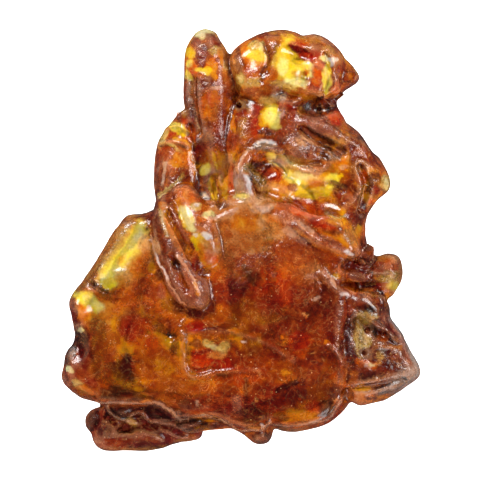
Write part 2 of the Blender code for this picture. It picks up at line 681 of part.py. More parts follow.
def make_pocket(insect, animal):
    """Return an oval block that clears one insect all round."""
    place = insect_frame(insect)
    points, _ = skin_arrays(animal.data)
    back = np.array(place.inverted())
    local = points @ back[:3, :3].T + back[:3, 3]
    low, high = local.min(axis=0), local.max(axis=0)
    middle = (low + high) / 2
    share = np.linalg.norm((local - middle) / ((high - low) / 2), axis=1).max()
    radii = (high - low) / 2 * share + POCKET_CLEARANCE
    bm = bmesh.new()
    bmesh.ops.create_uvsphere(bm, u_segments=12, v_segments=8, radius=1.0,
                              matrix=place @ Matrix.Translation(middle) @ Matrix.Diagonal((*radii, 1.0)))
    return object_from(bm, insect.name + " pocket")


def part_lump(lump, animals):
    """Part the lump along the slanted plane and open a pocket round each insect."""
    halves = []
    for name, side in (("copal_front", 1), ("copal_back", -1)):
        half = bpy.data.objects.new(name, lump.data.copy())
        bpy.context.collection.objects.link(half)
        carve(half, half_space(name + " block", side), "INTERSECT")
        for insect, animal in zip(INSECTS, animals):
            carve(half, make_pocket(insect, animal), "DIFFERENCE")
        keep_largest_body(half)
        halves.append(half)
    bpy.data.objects.remove(lump, do_unlink=True)
    return halves


def main():
    """Build the copal and its insects."""
    clear_scene()
    resin = material("amber-coloured copal", (0.62, 0.20, 0.03), 0.12, transmission=0.6)
    dark_shell = material("dark insect shell", (0.05, 0.025, 0.012), 0.4)
    lump = make_lump()
    fit_to_size(lump)
    thin_out(lump, LUMP_TRIANGLES, PLAIN_SHARE)
    cut_flat_spot(lump)
    bore(lump)
    animals = [make_insect(insect, dark_shell) for insect in INSECTS]
    halves = part_lump(lump, animals)
    for half in halves:
        half.data.materials.clear()
        half.data.materials.append(resin)
    for thing in halves + animals:
        thing.data.transform(Matrix.Scale(MM, 4))
        thing.data.update()


main()
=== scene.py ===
"""Looks of a lump of raw, part-polished copal with small insects sealed in it.

The lump lies on its back on a pale floor and the camera looks straight down on its smooth face.
+Z points up out of the face, +Y along the lump towards its drip-shaped spike and +X to the right.
One clear piece with a finer skin stands for the two halves of the frame. The insects of the
frame stay as they are and get a shell. Shapes are worked out in millimetres.
"""
from __future__ import annotations

import logging
import math
from dataclasses import dataclass
from enum import Enum

import bmesh
import bpy
import numpy as np
from mathutils import Matrix, Vector, noise

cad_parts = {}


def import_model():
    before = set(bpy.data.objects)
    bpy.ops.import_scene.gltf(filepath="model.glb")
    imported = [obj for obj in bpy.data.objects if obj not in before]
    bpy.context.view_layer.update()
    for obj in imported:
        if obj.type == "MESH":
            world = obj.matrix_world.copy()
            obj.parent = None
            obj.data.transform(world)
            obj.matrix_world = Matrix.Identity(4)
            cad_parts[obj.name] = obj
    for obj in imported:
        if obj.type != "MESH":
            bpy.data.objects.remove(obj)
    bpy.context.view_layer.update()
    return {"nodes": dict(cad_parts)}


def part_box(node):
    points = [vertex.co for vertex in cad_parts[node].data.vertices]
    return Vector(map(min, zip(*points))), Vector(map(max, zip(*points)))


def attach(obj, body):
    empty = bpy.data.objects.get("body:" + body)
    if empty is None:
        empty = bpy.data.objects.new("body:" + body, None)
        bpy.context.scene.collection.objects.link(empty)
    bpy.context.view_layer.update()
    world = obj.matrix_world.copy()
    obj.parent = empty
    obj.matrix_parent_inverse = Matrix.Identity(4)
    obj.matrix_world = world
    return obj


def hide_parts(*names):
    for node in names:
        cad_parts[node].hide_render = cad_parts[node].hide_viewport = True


LOG = logging.getLogger("copal")
MM = 0.001
# The light that the studio sends back from the skin and through it, per channel
FRONT_LIGHT = np.array((0.50, 0.50, 0.48))
INNER_GLOW = np.array((0.42, 0.15, 0.034))
HAZE = np.array((0.034, 0.022, 0.018))
WARMTH = np.array((0.91, 0.57, 0.37))
LEAST_PIGMENT = 0.0005
# Without a seed, the directions in which the tints' edges drift would differ in every run
DRIFT_SEED = 7
# The middle part of a noise, where nearly all of its values lie
NOISE_LOW = 0.3
NOISE_HIGH = 0.7
# The studio lights are aimed at this height over the middle of the floor, in metres
LIT_HEIGHT = 0.01
Pair = tuple[float, float]
Route = tuple[Pair, ...]
Quad = tuple[float, float, float, float]


class Tone(Enum):
    """The resin's tones by daylight (red, green, blue), each with how crusty its skin is; the near-white and
    the two greys at the end are painted highlights and painted sheen.
    """

    # The near-white of painted highlights and glints, and of a painted spot of light through a small gap
    BLOOM = (1.00, 0.95, 0.88, 0.10)
    CREAM = (0.98, 0.91, 0.66, 0.05)
    LEMON = (0.98, 0.84, 0.40, 0.00)
    YOLK = (0.99, 0.80, 0.20, 0.00)
    GOLD = (0.91, 0.64, 0.14, 0.00)
    HONEY = (0.86, 0.52, 0.15, 0.05)
    COPPER = (0.76, 0.42, 0.18, 0.15)
    AMBER = (0.67, 0.37, 0.05, 0.00)
    TANGERINE = (0.85, 0.37, 0.04, 0.00)
    EMBER = (0.72, 0.25, 0.03, 0.00)
    GARNET = (0.47, 0.09, 0.03, 0.05)
    OXBLOOD = (0.31, 0.05, 0.02, 0.05)
    BRICK = (0.62, 0.30, 0.15, 0.30)
    RUST = (0.56, 0.20, 0.07, 0.20)
    UMBER = (0.40, 0.19, 0.08, 0.20)
    BARK = (0.38, 0.24, 0.17, 0.70)
    SOOT = (0.06, 0.02, 0.01, 0.05)
    PLUM = (0.51, 0.28, 0.22, 0.45)
    ROSE = (0.70, 0.46, 0.38, 0.50)
    BLUSH = (0.86, 0.66, 0.55, 0.25)
    TAN = (0.71, 0.49, 0.29, 0.50)
    CLAY = (0.72, 0.44, 0.27, 0.25)
    PEACH = (0.85, 0.60, 0.40, 0.20)
    SAND = (0.82, 0.68, 0.43, 0.50)
    KHAKI = (0.68, 0.57, 0.35, 1.00)
    MOSS = (0.44, 0.38, 0.24, 0.60)
    # Greys of painted sheen and reflections on glossy slopes and edges
    SILVER = (0.68, 0.63, 0.60, 0.35)
    SLATE = (0.47, 0.41, 0.37, 0.30)

    @property
    def linear(self) -> np.ndarray:
        """Work out the pigment that shows as this tone in the studio's light.

        Returns:
            Red, green and blue, each from 0 to 1.
        """
        shown = np.array(self.value[:3])
        light = np.where(shown <= 0.04045, shown / 12.92, ((shown + 0.055) / 1.055) ** 2.4)
        warmth = WARMTH + (1 - WARMTH) * light
        spare = np.maximum(light * warmth - HAZE * (0.6 + self.crust), 0)
        root = (np.sqrt(INNER_GLOW ** 2 + 4 * FRONT_LIGHT * spare) - INNER_GLOW) / (2 * FRONT_LIGHT)
        return np.clip(root ** 2, LEAST_PIGMENT, 1)

    @property
    def crust(self) -> float:
        """How crusty the skin is where it has this tone."""
        return self.value[3]


CLEAR_TONES = (Tone.BLOOM, Tone.CREAM, Tone.LEMON, Tone.YOLK, Tone.GOLD, Tone.HONEY)


@dataclass(frozen=True)
class Lobe:
    """A rounded slab of copal: an outline seen from the front, between two heights."""

    name: str
    outline: Route
    low: float
    high: float
    edge: float
    rim: float
    crown: float = 0.0
    slope: Pair = (0.0, 0.0)


@dataclass(frozen=True)
class Drip:
    """A run of resin: places along its middle, each with a height and a radius."""

    name: str
    run: tuple[Quad, ...]


@dataclass(frozen=True)
class Stroke:
    """A raised ridge, or a groove where the height is below zero, along a path."""

    name: str
    path: Route
    width: float
    height: float
    facing: int = 1


@dataclass(frozen=True)
class Dent:
    """An oval hollow, or a swelling where the depth is below zero."""

    name: str
    centre: Pair
    radii: Pair
    depth: float
    turn: float = 0.0
    facing: int = 1


@dataclass(frozen=True)
class Burrow:
    """A small round hole that narrows as it goes in."""

    name: str
    mouth: tuple[float, float, float]
    heading: tuple[float, float, float]
    radius: float
    depth: float


@dataclass(frozen=True)
class Patch:
    """An oval cloud of one tone as it shows from the front: mostly a colour in the resin, some painted
    highlights, sheen and shade.
    """

    tone: Tone
    x: float
    y: float
    wide: float
    tall: float
    turn: float = 0.0
    share: float = 0.9
    soft: float = 0.55

    @property
    def centre(self) -> Pair:
        """The cloud's middle."""
        return self.x, self.y

    @property
    def radii(self) -> Pair:
        """Half its width and half its height."""
        return self.wide, self.tall


@dataclass(frozen=True)
class Streak:
    """A line of one tone along a smooth path, as it shows from the front; some are painted highlights along
    edges and painted shade along creases.
    """

    tone: Tone
    path: Route
    width: float
    share: float = 0.85
    soft: float = 0.7


@dataclass(frozen=True)
class DepthAndPaintedLight:
    """A broad oval painted darker, or lighter where the depth is below zero: partly the resin's own depth of
    colour, partly painted light that lifts the shade of hollows and steep slopes.
    """

    centre: Pair
    radii: Pair
    depth: float
    turn: float = 0.0


LOBES = (
    Lobe("heart", ((-21, 2), (-28, -12), (-29, -26), (-17, -32), (2, -34), (17, -32), (27, -22),
                   (26, -4), (21, 14), (12, 24), (0, 25), (-9, 17), (-16, 9)),
         low=3.2, high=24, edge=9.5, rim=11),
    Lobe("face slab", ((-16.5, 7), (-19.7, 5.7), (-23.7, 4.9), (-27.2, -0.5), (-31.3, -7.3), (-34.4, -11.9),
                       (-34, -15.5), (-34.1, -19.9), (-35.2, -22.3), (-36.1, -27.3), (-33.8, -30.3),
                       (-28.6, -33), (-18.3, -32.9), (-14, -34.5), (-11.9, -36), (-5.3, -36),
                       (-1.9, -37), (4.1, -38), (7, -37.4), (12.5, -38.4), (17.9, -36.2),
                       (21, -32.2), (22, -27), (21.8, -19), (22.4, -13), (21.6, -9), (22, -5),
                       (24.6, -1.5), (19.7, 6),
                       (11, 9), (0, 10), (-10, 8)),
         low=15, high=29.4, edge=4.5, rim=2.6, crown=1.6, slope=(0.03, 0.0)),
    Lobe("foot lobe", ((-29.4, -35.6), (-27.5, -32.8), (-18, -31.5), (-8, -34), (-7.2, -38.4),
                       (-9, -41), (-14, -41.8), (-19, -42.5), (-27.6, -42.5), (-30.2, -39.9)),
         low=4, high=14.5, edge=5, rim=4.5, slope=(-0.04, 0.05)),
    Lobe("foot ledge", ((-28.5, -31), (-27.5, -34), (-24, -36.6), (-20.5, -35.4), (-17, -37.2),
                        (-10, -37), (-6, -31), (-17, -28)),
         low=10.5, high=19, edge=3.4, rim=3),
    Lobe("foot step", ((-14, -34), (-12, -38.4), (-7.5, -39), (-3, -38.2), (0.5, -37.6), (1, -32),
                       (-7, -29)),
         low=11, high=20.5, edge=3.4, rim=3),
    Lobe("drip under the rim", ((-2.4, -36.8), (0.9, -39.2), (3.2, -41), (5.8, -40.8), (6.8, -38.6),
                                (6.2, -35.5), (2, -33)),
         low=13, high=23.5, edge=3.6, rim=3),
    Lobe("fringe", ((5.6, -36), (8.5, -38.4), (13, -38.3), (18.4, -36.5), (22, -33.2), (22.3, -28),
                    (13, -29), (7, -31)),
         low=12.5, high=24.5, edge=4, rim=3.5),
    Lobe("corner block", ((20, -30.5), (22.8, -32.4), (25.6, -33.6), (29, -32.4), (33.2, -29.8),
                          (36.7, -26.8), (35.2, -22.6), (33, -18.6), (30.6, -15.4), (29.8, -12),
                          (24, -9), (17, -14), (16, -26)),
         low=6, high=26.6, edge=6, rim=2.6, slope=(-0.26, 0.06)),
    Lobe("lug", ((22, -2.4), (27, -2.5), (31.8, -2.7), (33.1, -6), (32.4, -9), (30.3, -11.7),
                 (23, -13)),
         low=12, high=21.5, edge=3.8, rim=3.2),
    Lobe("shoulder", ((19.5, 25), (24, 22.5), (28.8, 16.6), (30.6, 11.2), (27.6, 8.2), (25.7, 5),
                      (26.5, 1.8), (26.9, -0.6), (27.6, -3), (24, -6), (8, -4), (4, 8), (6, 20),
                      (12, 26)),
         low=8, high=26.5, edge=7, rim=5.5, slope=(-0.1, 0)),
    Lobe("neck", ((-0.5, 30), (7, 31), (18, 28.8), (21.2, 25.4), (21.5, 20), (19, 14), (10, 12),
                  (0, 13), (-4, 20)),
         low=7.5, high=27, edge=7, rim=6, slope=(0, -0.06)),
    Lobe("crown", ((-2.2, 36.2), (0.1, 40.2), (4.4, 42.3), (8, 43.1), (11.2, 42.6), (12.9, 41.9), (15, 42.2),
                   (17.5, 41.4), (20.3, 39), (21.4, 36), (20, 30), (18.8, 26.6), (8, 25), (0.6, 28.5)),
         low=8.5, high=26.4, edge=6, rim=3.4, crown=0.8),
    Lobe("crown knob", ((17, 38), (20.9, 37.4), (23.4, 35.2), (24.3, 33), (21.6, 30.7), (20, 28.4),
                        (15, 31)),
         low=11, high=22.5, edge=4.5, rim=3.5),
    Lobe("side lobe", ((-17.2, 10), (-17.3, 13.4), (-16.7, 19.6), (-14.3, 23.7), (-11, 27.2),
                       (-8.6, 24.6), (-7.5, 17), (-7, 9), (-11, 4), (-16, 5)),
         low=10.5, high=25, edge=6, rim=4.2, slope=(0.05, -0.05)),
    Lobe("window shelf", ((3, 19), (9, 16), (18, 15), (24, 17), (27, 13), (24, 6), (14, 4), (5, 7)),
         low=10, high=24, edge=5, rim=5),
    Lobe("back boss", ((-20, -12), (-15, -2), (-5, 0), (1, -9), (-2, -20), (-12, -23)),
         low=-1.2, high=12, edge=6, rim=6.5),
    Lobe("back rib", ((3, 17), (10, 19), (15, 8), (16, -10), (12, -22), (6, -20), (5, -4)),
         low=-1.2, high=14, edge=7, rim=5),
)

DRIPS = (
    Drip("spike", ((-5.6, 7, 19, 4.8), (-5.7, 16, 20.5, 4.7), (-6, 24, 21, 4.9), (-6.3, 31, 21, 5.3),
                   (-6.6, 36.2, 20.6, 4.9), (-6.8, 39.3, 20.4, 3.9), (-7.3, 41.2, 20.4, 1.8))),
    Drip("long finger", ((-14.6, 7.4, 25, 2.8), (-14.3, 3.5, 28, 3.8), (-12.7, -1.5, 29.4, 4.2),
                         (-11.1, -6.5, 30.6, 4.3), (-9.6, -10, 31.2, 3.9), (-9, -11.4, 31, 2.9))),
    Drip("golden drop", ((-11.2, 9, 25.5, 3), (-8.8, 4, 28.2, 3.9), (-6.9, -1.5, 29, 3.6),
                         (-6, -4, 28.6, 2.6))),
    Drip("bridge", ((-3, 32, 17, 3.2), (-0.5, 29.5, 17.5, 3.2), (1, 26, 18, 3.6), (1, 20, 19.5, 4.2))),
    Drip("brow", ((10, 23.8, 24.4, 2), (14, 23.9, 25.6, 2.1), (18.5, 21.9, 25, 2.3), (23.5, 18.7, 22.8, 2.8),
                  (27, 14, 19.5, 2.6))),
    Drip("shoulder nub", ((19, 21, 20, 2.4), (23.4, 21.4, 19, 1.4))),
    Drip("silver lip", ((2.2, 18.6, 26.2, 1), (4.6, 19.2, 26.9, 1.2), (7.4, 18.8, 26.4, 0.9))),
    Drip("pocket rim", ((2.6, 17.8, 25.6, 1.9), (0.6, 15, 26.6, 2), (1.2, 10.6, 27.4, 2.1),
                        (3.4, 6.6, 28, 2.2), (9, 4, 28.2, 2.4), (15, 1, 28.2, 2.4), (20.5, -2, 27, 2.2))),
    Drip("lug ridge", ((20, -6, 24.6, 1.6), (23.6, -7, 22, 1.5), (26.4, -7, 19.6, 1.4))),
    Drip("cheek ridge", ((16.8, -6, 28.6, 1.3), (18.6, -8.4, 28.8, 1.6), (20.6, -10.8, 27.6, 1.9),
                         (24.6, -12, 25.4, 2), (28.2, -11.8, 22.6, 1.9))),
    Drip("block ridge", ((20.6, -12.5, 26.4, 2.5), (21, -18, 25.9, 2.7), (21, -24, 25.6, 2.7),
                         (20.2, -29.5, 24.6, 2.4))),
    Drip("foot roll", ((-28.5, -36.5, 10, 3.2), (-23, -39.6, 9.5, 3), (-15, -39, 10, 3.2),
                       (-10.5, -37.4, 11.5, 2.6))),
    Drip("back trail", ((12, 31, 10, 3), (5, 24, 6, 3.2), (-3, 13, 4.2, 3.4), (-12, 5, 5, 3.2),
                        (-22, -5, 8, 3))),
    Drip("back drop", ((21, 9, 9, 3), (22.5, -2, 6, 3), (22, -12, 5, 3.2), (17, -20, 4.6, 2.8))),
    Drip("back spine", ((-25, -14, 10, 3.4), (-23, -22, 7.5, 3.4), (-14, -28, 6, 3.4), (2, -30, 6, 3),
                        (10, -28, 6.4, 2.6))),
)

STROKES = (
    Stroke("furrow beside the finger", ((-14.5, 6), (-12.3, 2), (-10.3, -1.5), (-8.6, -4.6), (-7, -6.4)),
           1.1, -1.6),
    Stroke("trough down the finger", ((-13.6, -3), (-12.2, -7), (-10.8, -9.6)), 1.1, -1.0),
    Stroke("face rim", ((-28, -32.2), (-18, -32.4), (-13.4, -34.6), (-11, -35.6), (-5, -35.2),
                        (-1, -36.6), (4, -37.6)), 1.3, 0.7),
    Stroke("scar rim", ((-11.3, -18.6), (-11.1, -26), (-8.5, -27.4), (-2.3, -26.2), (4, -26)), 0.8, 0.4),
    Stroke("scar upper edge", ((-11.3, -18.6), (-6, -18), (0, -18.6), (6, -21), (11, -24.4)), 0.8, 0.25),
    Stroke("chin crease", ((12.4, 23), (14.2, 21.6), (16.4, 20.4), (18.8, 19.2), (20.8, 18.2)), 1.2, -1.5),
    Stroke("lip crease", ((9.2, 18), (11, 16.4), (13.6, 15.6), (16.4, 16)), 1.1, -1.2),
    Stroke("crown crease", ((8.6, 30.4), (11, 29.6), (14, 29.2), (19, 29)), 1.4, -1.3),
    Stroke("crown furrow", ((4.6, 41), (5.8, 37.6), (5.4, 34.6)), 1.0, -0.8),
    Stroke("shoulder crease", ((24.6, 15.2), (25.7, 12), (25.4, 8.8), (24.8, 6.4)), 1.1, -1.3),
    Stroke("horn edge", ((15.6, 36.2), (18.6, 34), (19.6, 31)), 1.2, 0.7),
    Stroke("knob furrow", ((17.6, 38), (18.4, 34), (17.4, 30.6)), 1.1, -0.9),
    Stroke("spike furrow", ((-9.6, 33), (-9.2, 27), (-8.2, 22)), 1.0, -0.9),
    Stroke("side lips", ((-15.8, 19.8), (-13, 20.4), (-10.4, 19.4)), 0.9, 0.7),
    Stroke("upper side lips", ((-14.8, 22.8), (-12.4, 23.4), (-10.2, 22.2)), 0.8, 0.6),
    Stroke("silver ridge", ((11.7, 3.5), (15.7, 0), (18.7, -1.2), (21.5, -2.2)), 1.2, 0.8),
    Stroke("cheek ridge", ((16.5, -6.3), (18.5, -8.6), (20.5, -10.5)), 1.1, 0.8),
    Stroke("block crease", ((23, -29.5), (28, -29), (33, -28)), 1.0, -0.8),
    Stroke("block furrow", ((24, -16), (28, -18.5), (32, -21)), 1.2, -1.0),
    Stroke("foot groove", ((-27, -35.6), (-22, -38), (-16, -37.4), (-11, -37)), 1.0, -1.2),
    Stroke("back furrow", ((-12, 14), (-6, 10), (-3, 3), (3, -1), (4, -8), (9, -16)), 2.6, -1.1, facing=-1),
    Stroke("back fold", ((-26, -20), (-20, -15), (-13, -14), (-8, -17), (-6, -26)), 2.2, -0.9, facing=-1),
    Stroke("back crown crease", ((-1, 33), (8, 29), (20, 31)), 1.6, -1.2, facing=-1),
)

DENTS = (
    Dent("lit pocket", (8, 14.5), (7, 4.2), 3.4, turn=-20),
    Dent("window bay", (16, 8.5), (6.5, 4.4), 2.4, turn=-8),
    Dent("throat", (14.8, 27.4), (4.4, 2.2), 2.8, turn=-6),
    Dent("rock above the pocket", (11.6, 19), (3, 2.4), -1.2, turn=-30),
    Dent("hollow beside the rock", (17, 18), (2.2, 1.4), 1.1, turn=-14),
    Dent("upper lug hollow", (22.6, -4.8), (2.8, 1.5), 1.2, turn=6),
    Dent("lower lug hollow", (24.4, -9.2), (2.8, 1.1), 1.2),
    Dent("red pocket", (28.7, -18.5), (2, 1.7), 1.1, turn=10),
    Dent("spike root", (-4.6, 10.6), (2.6, 4.2), 1.6, turn=12),
    Dent("pale cup", (13.5, 34), (2.6, 2.6), 0.9),
    Dent("heart-shaped dip", (11.9, 38), (4.2, 2.2), 1.2, turn=-22),
    Dent("left facet", (2, 37.6), (3.4, 4), 0.7, turn=20),
    Dent("side of the face", (-31, -12), (3.2, 3), 0.8),
    Dent("burnt edge", (-33, -21), (2.4, 4), 1.3),
    Dent("gnawed patch", (25, -18.8), (2.6, 5.4), 1.7, turn=8),
    Dent("notch by the block", (21.8, -31), (1.6, 1.8), 1.6),
    Dent("foot hollow", (-22.8, -38), (2.8, 1.3), 1.8),
    Dent("face swell", (8, -8), (12, 9), -0.8, turn=30),
    Dent("left window", (-25, -4), (3.4, 6.4), 0.5, turn=-35),
    Dent("back hollow", (-16, 2), (5, 7), 1.8, turn=40, facing=-1),
    Dent("back cup", (21, -26), (6, 5), 1.6, turn=20, facing=-1),
    Dent("back bay", (-21, -22), (5, 4), 1.5, turn=-20, facing=-1),
    Dent("back swell", (2, -26), (7, 4), -1.2, turn=10, facing=-1),
    Dent("back knuckle", (22, 12), (4, 6), -1.0, turn=30, facing=-1),
    Dent("crown hollow behind", (10, 36), (6, 4), 1.4, turn=-10, facing=-1),
)

BURROWS = (
    Burrow("bridge hole", (-0.7, 27, 26), (0.05, 0, -1), 1.0, 12),
    Burrow("throat hole", (15.5, 26, 28), (0, 0.05, -1), 1.0, 12),
    Burrow("upper borehole", (25.5, -18.1, 28), (-0.1, 0.05, -1), 1.2, 10),
    Burrow("middle borehole", (28.6, -18.6, 28), (0, 0, -1), 0.8, 9),
    Burrow("lower borehole", (24.8, -22.3, 28), (-0.1, -0.05, -1), 1.0, 10),
)

FINE_STROKES = (
    Stroke("spike's left edge", ((-10.3, 28.7), (-9.5, 26.9), (-8.9, 24.9), (-8.6, 22.5)), 0.5, 0.3),
    Stroke("finger's left edge", ((-17.6, 0.1), (-17.1, -2.2), (-16.2, -4.6), (-15, -6.8), (-14, -9.6),
                                  (-12.5, -11.7), (-10.8, -13.3)), 0.6, 0.35),
    Stroke("finger's inner edge", ((-12.7, -2.9), (-11.1, -4.9), (-10.3, -6.9), (-9.1, -8.9),
                                   (-8.3, -10.9)), 0.6, 0.3),
    Stroke("twin groove", ((-14.3, 6.5), (-13.3, 4.4), (-11.9, 1.3), (-10.2, -1.3)), 0.5, -0.3),
    Stroke("fibre one", ((-6.3, 12.5), (-5.7, 10.1), (-5.1, 7.3)), 0.5, 0.3),
    Stroke("fibre two", ((-3.9, 13.1), (-3.3, 10.1), (-3.1, 7.6)), 0.5, 0.3),
    Stroke("fibre cleft", ((-4.9, 12.5), (-4.5, 10.1), (-4.2, 7.3)), 0.5, -0.4),
    Stroke("crescent below the spike", ((-7.3, 5.3), (-5.9, 4.5), (-4.3, 4.7), (-2.7, 5.5), (-1.1, 6.1)),
           0.7, 0.4),
    Stroke("pocket's own rim", ((2.1, 18.5), (0.7, 17.1), (-0.1, 15.5), (0.1, 14.1), (0.9, 12.9),
                                (1.5, 10.9), (1.9, 8.9), (2.9, 7.3), (4.5, 6.3)), 0.6, 0.35),
    Stroke("flap in the pocket", ((1.3, 14.5), (2.7, 13.1), (3.9, 11.7), (4.3, 10.9)), 0.9, 0.7),
    Stroke("yellow chip", ((16.7, 4.7), (18.3, 4.1), (20.1, 3.7)), 0.9, 0.5),
    Stroke("dark cleft over the chip", ((17.9, 11.7), (19.3, 11.1), (20.9, 10.3)), 0.7, -0.6),
    Stroke("ring in the crown", ((13.3, 35.2), (14.1, 34.1), (13.9, 32.5), (12.7, 31.4), (11.4, 32)),
           0.6, 0.35),
    Stroke("foot lip one", ((-26.9, -33.3), (-26.3, -34.3), (-25.1, -35.5), (-23.9, -36.1),
                            (-22.3, -36.5)), 0.6, 0.45),
    Stroke("foot lip two", ((-22.1, -35.1), (-20.9, -34.5), (-19.7, -34.7), (-18.9, -35.7),
                            (-17.9, -36.5), (-14.3, -36.7), (-12.3, -37.5), (-10.3, -36.9),
                            (-8.5, -36.5)), 0.6, 0.45),
    Stroke("foot lip three", ((-16.3, -37.9), (-14.3, -38.7), (-12.3, -39.5), (-10.7, -39.5)), 0.6, 0.4),
    Stroke("foot lip four", ((-21.3, -38.5), (-19.3, -38.7), (-17.3, -39.5), (-15.7, -40.3)), 0.6, 0.35),
    Stroke("drip's lip", ((-2.1, -36.7), (-0.3, -37.9), (2.1, -37.9), (4.1, -37.9), (5.3, -36.9),
                          (5.9, -36.3)), 0.6, 0.45),
    Stroke("fringe's lip", ((6.7, -36.7), (9.7, -36.9), (12.7, -36.7), (15.3, -36.1), (17.7, -35.3),
                            (18.9, -33.5), (19.9, -31.9), (20.9, -30.7)), 0.6, 0.4),
    Stroke("scar's inner lip", ((-10.6, -20.4), (-10.4, -24.6), (-8.8, -26.2), (-5.6, -25.6)), 0.7, -0.4),
    Stroke("lug crease", ((21, -8.6), (24.7, -8.9), (28, -8.6)), 0.8, -0.6),
    Stroke("lug line", ((25.7, -6.1), (27.7, -6.5), (30.4, -6.5)), 0.5, -0.35),
    Stroke("block line", ((27.3, -21.3), (29.3, -21.3), (32.2, -21.4)), 0.5, 0.3),
    Stroke("block lower line", ((22.7, -28.9), (24.7, -28.5), (27.6, -27.9)), 0.6, 0.35),
    Stroke("cheek line", ((18.1, -20.9), (19.7, -22.9), (20.7, -24.7)), 0.6, 0.35),
)

FINE_DENTS = (
    Dent("finger spot", (-12.9, -4.5), (1.0, 1.6), 0.7, turn=30),
    Dent("face burrow", (-29.9, -8.7), (1.0, 1.0), 0.7),
    Dent("face pinhole", (-14.1, -18.9), (0.9, 0.5), 0.6),
    Dent("scar floor", (-6.9, -22.4), (4.0, 4.0), 0.45),
    Dent("bubble ring", (-18.7, -18.5), (0.7, 0.7), 0.25),
    Dent("crown pit one", (4.5, 34.1), (0.8, 0.9), 0.6),
    Dent("crown pit two", (4.1, 32.7), (0.7, 0.7), 0.5),
    Dent("crown ring's middle", (12.9, 33.5), (0.8, 0.8), 0.35),
    Dent("foot nub", (-22.1, -36.5), (1.4, 0.8), -0.5, turn=-30),
    Dent("foot slit", (-11, -36.1), (3.2, 0.8), 0.8),
    Dent("lug pit", (26.9, -6.9), (0.8, 0.5), 0.5),
    Dent("salmon wedge", (25.2, -24.6), (1.8, 0.8), -0.5, turn=-12),
)

SPIKE_TINTS = (
    Patch(Tone.BRICK, -6.7, 29.5, 6, 14, 0, 1),
    Patch(Tone.COPPER, -6.7, 35.5, 4.4, 5.6, 0, 0.8),
    Patch(Tone.CREAM, -7.5, 41.4, 2.6, 1.3),
    Patch(Tone.RUST, -5.5, 40, 2.4, 1.2, -30),
    Patch(Tone.RUST, -9, 39.8, 1.6, 0.9, 30),
    Patch(Tone.HONEY, -10.6, 36.2, 1.4, 4.4),
    Patch(Tone.YOLK, -10.3, 37.6, 1.2, 1.6, 20, 0.7),
    Patch(Tone.LEMON, -10.3, 35.3, 1, 1, 30),
    Patch(Tone.TANGERINE, -9.5, 34.4, 1.1, 1.5, 0, 0.6),
    Patch(Tone.LEMON, -10.6, 32.9, 0.8, 1.3, 20, 0.8),
    Patch(Tone.BRICK, -7.9, 36.9, 1.7, 2.8),
    Patch(Tone.BARK, -6.9, 38.6, 2.4, 1.1, 0, 0.6),
    Patch(Tone.HONEY, -5.7, 34.9, 2, 1.9),
    Patch(Tone.YOLK, -6.7, 33.9, 1.2, 1.1, -30),
    Patch(Tone.HONEY, -5.4, 33, 1.2, 1.3, -20),
    Patch(Tone.LEMON, -8.1, 34.2, 1.6, 0.5, 0, 0.8),
    Patch(Tone.SAND, -5.1, 37.8, 1.7, 1.2, 0, 0.8),
    Patch(Tone.HONEY, -3.9, 36.1, 1.6, 2.8),
    Patch(Tone.RUST, -4.7, 36, 0.7, 0.7),
    Patch(Tone.BRICK, -4.1, 33.7, 1, 2),
    Patch(Tone.SAND, -3, 35.2, 0.7, 1.6, 10, 0.7),
    Patch(Tone.PLUM, -2.2, 34.6, 1.2, 4.6, 15),
    Patch(Tone.PLUM, -7.7, 30.7, 3.6, 2.6),
    Patch(Tone.BARK, -8.3, 29.3, 1.4, 1.8, 0, 0.8),
    Patch(Tone.GARNET, -7, 32.2, 1.5, 0.9, 0, 0.5),
    Patch(Tone.ROSE, -6.9, 30.1, 1.3, 0.6),
    Patch(Tone.BLUSH, -4.9, 30.6, 2.3, 0.5, 0, 0.8),
    Patch(Tone.COPPER, -5.6, 26.9, 3.9, 4.2),
    Patch(Tone.TANGERINE, -5.9, 27.8, 2.6, 1.6, 0, 0.5),
    Patch(Tone.HONEY, -2.2, 24.1, 0.9, 3.6, 14),
    Patch(Tone.HONEY, -6.9, 25.3, 1.2, 2.1, 0, 0.7),
    Patch(Tone.BRICK, -4.4, 24.5, 2.1, 3.4),
    Patch(Tone.RUST, -4.3, 25, 1.2, 1.8, 0, 0.5),
    Patch(Tone.PLUM, -7.1, 22.7, 2, 2.4, 0, 0.8),
    Patch(Tone.BRICK, -4.7, 20, 4.6, 3.4),
    Patch(Tone.PLUM, -4.7, 20.4, 2.6, 1.6, 0, 0.4),
    Patch(Tone.GARNET, -10.1, 25.6, 1, 5, 8, 0.75),
    Patch(Tone.PLUM, -10.2, 29, 0.9, 4, 0, 0.6),
    Patch(Tone.RUST, -8.1, 17.6, 1.7, 2.6),
    Patch(Tone.GARNET, -8.2, 12.6, 1.4, 3.6, -14),
    Patch(Tone.COPPER, -4.8, 13, 2.9, 6.6, 15),
    Patch(Tone.GARNET, -6.7, 12.7, 0.9, 1.9, -10, 0.8),
    Patch(Tone.LEMON, -7.3, 14.3, 1, 1.7, -22),
    Patch(Tone.YOLK, -5.7, 10.2, 0.9, 3, 10, 0.8),
    Patch(Tone.GOLD, -3.4, 10.6, 0.8, 3.2, 10, 0.8),
    Streak(Tone.GOLD, ((-5.9, 17.6), (-5.1, 14.2), (-3.9, 11), (-3.1, 8)), 0.4),
    Streak(Tone.HONEY, ((-4.8, 17.8), (-4, 14.6), (-3.1, 11.8)), 0.35),
    Streak(Tone.RUST, ((-4.9, 12.8), (-4.5, 10.1), (-4.2, 7.2)), 0.4),
    Streak(Tone.RUST, ((-5.5, 15), (-4.4, 12.4), (-3.6, 9.6)), 0.25, 0.7),
    Streak(Tone.EMBER, ((-2.5, 16.4), (-2, 13.1), (-2.3, 9.9)), 0.8),
    Patch(Tone.UMBER, -3.9, 6.9, 1.7, 0.8),
    # A painted highlight along the spike's left edge
    Streak(Tone.BLUSH, ((-10.3, 28.7), (-9.5, 26.9), (-8.9, 24.9), (-8.5, 22.5)), 0.28),
)

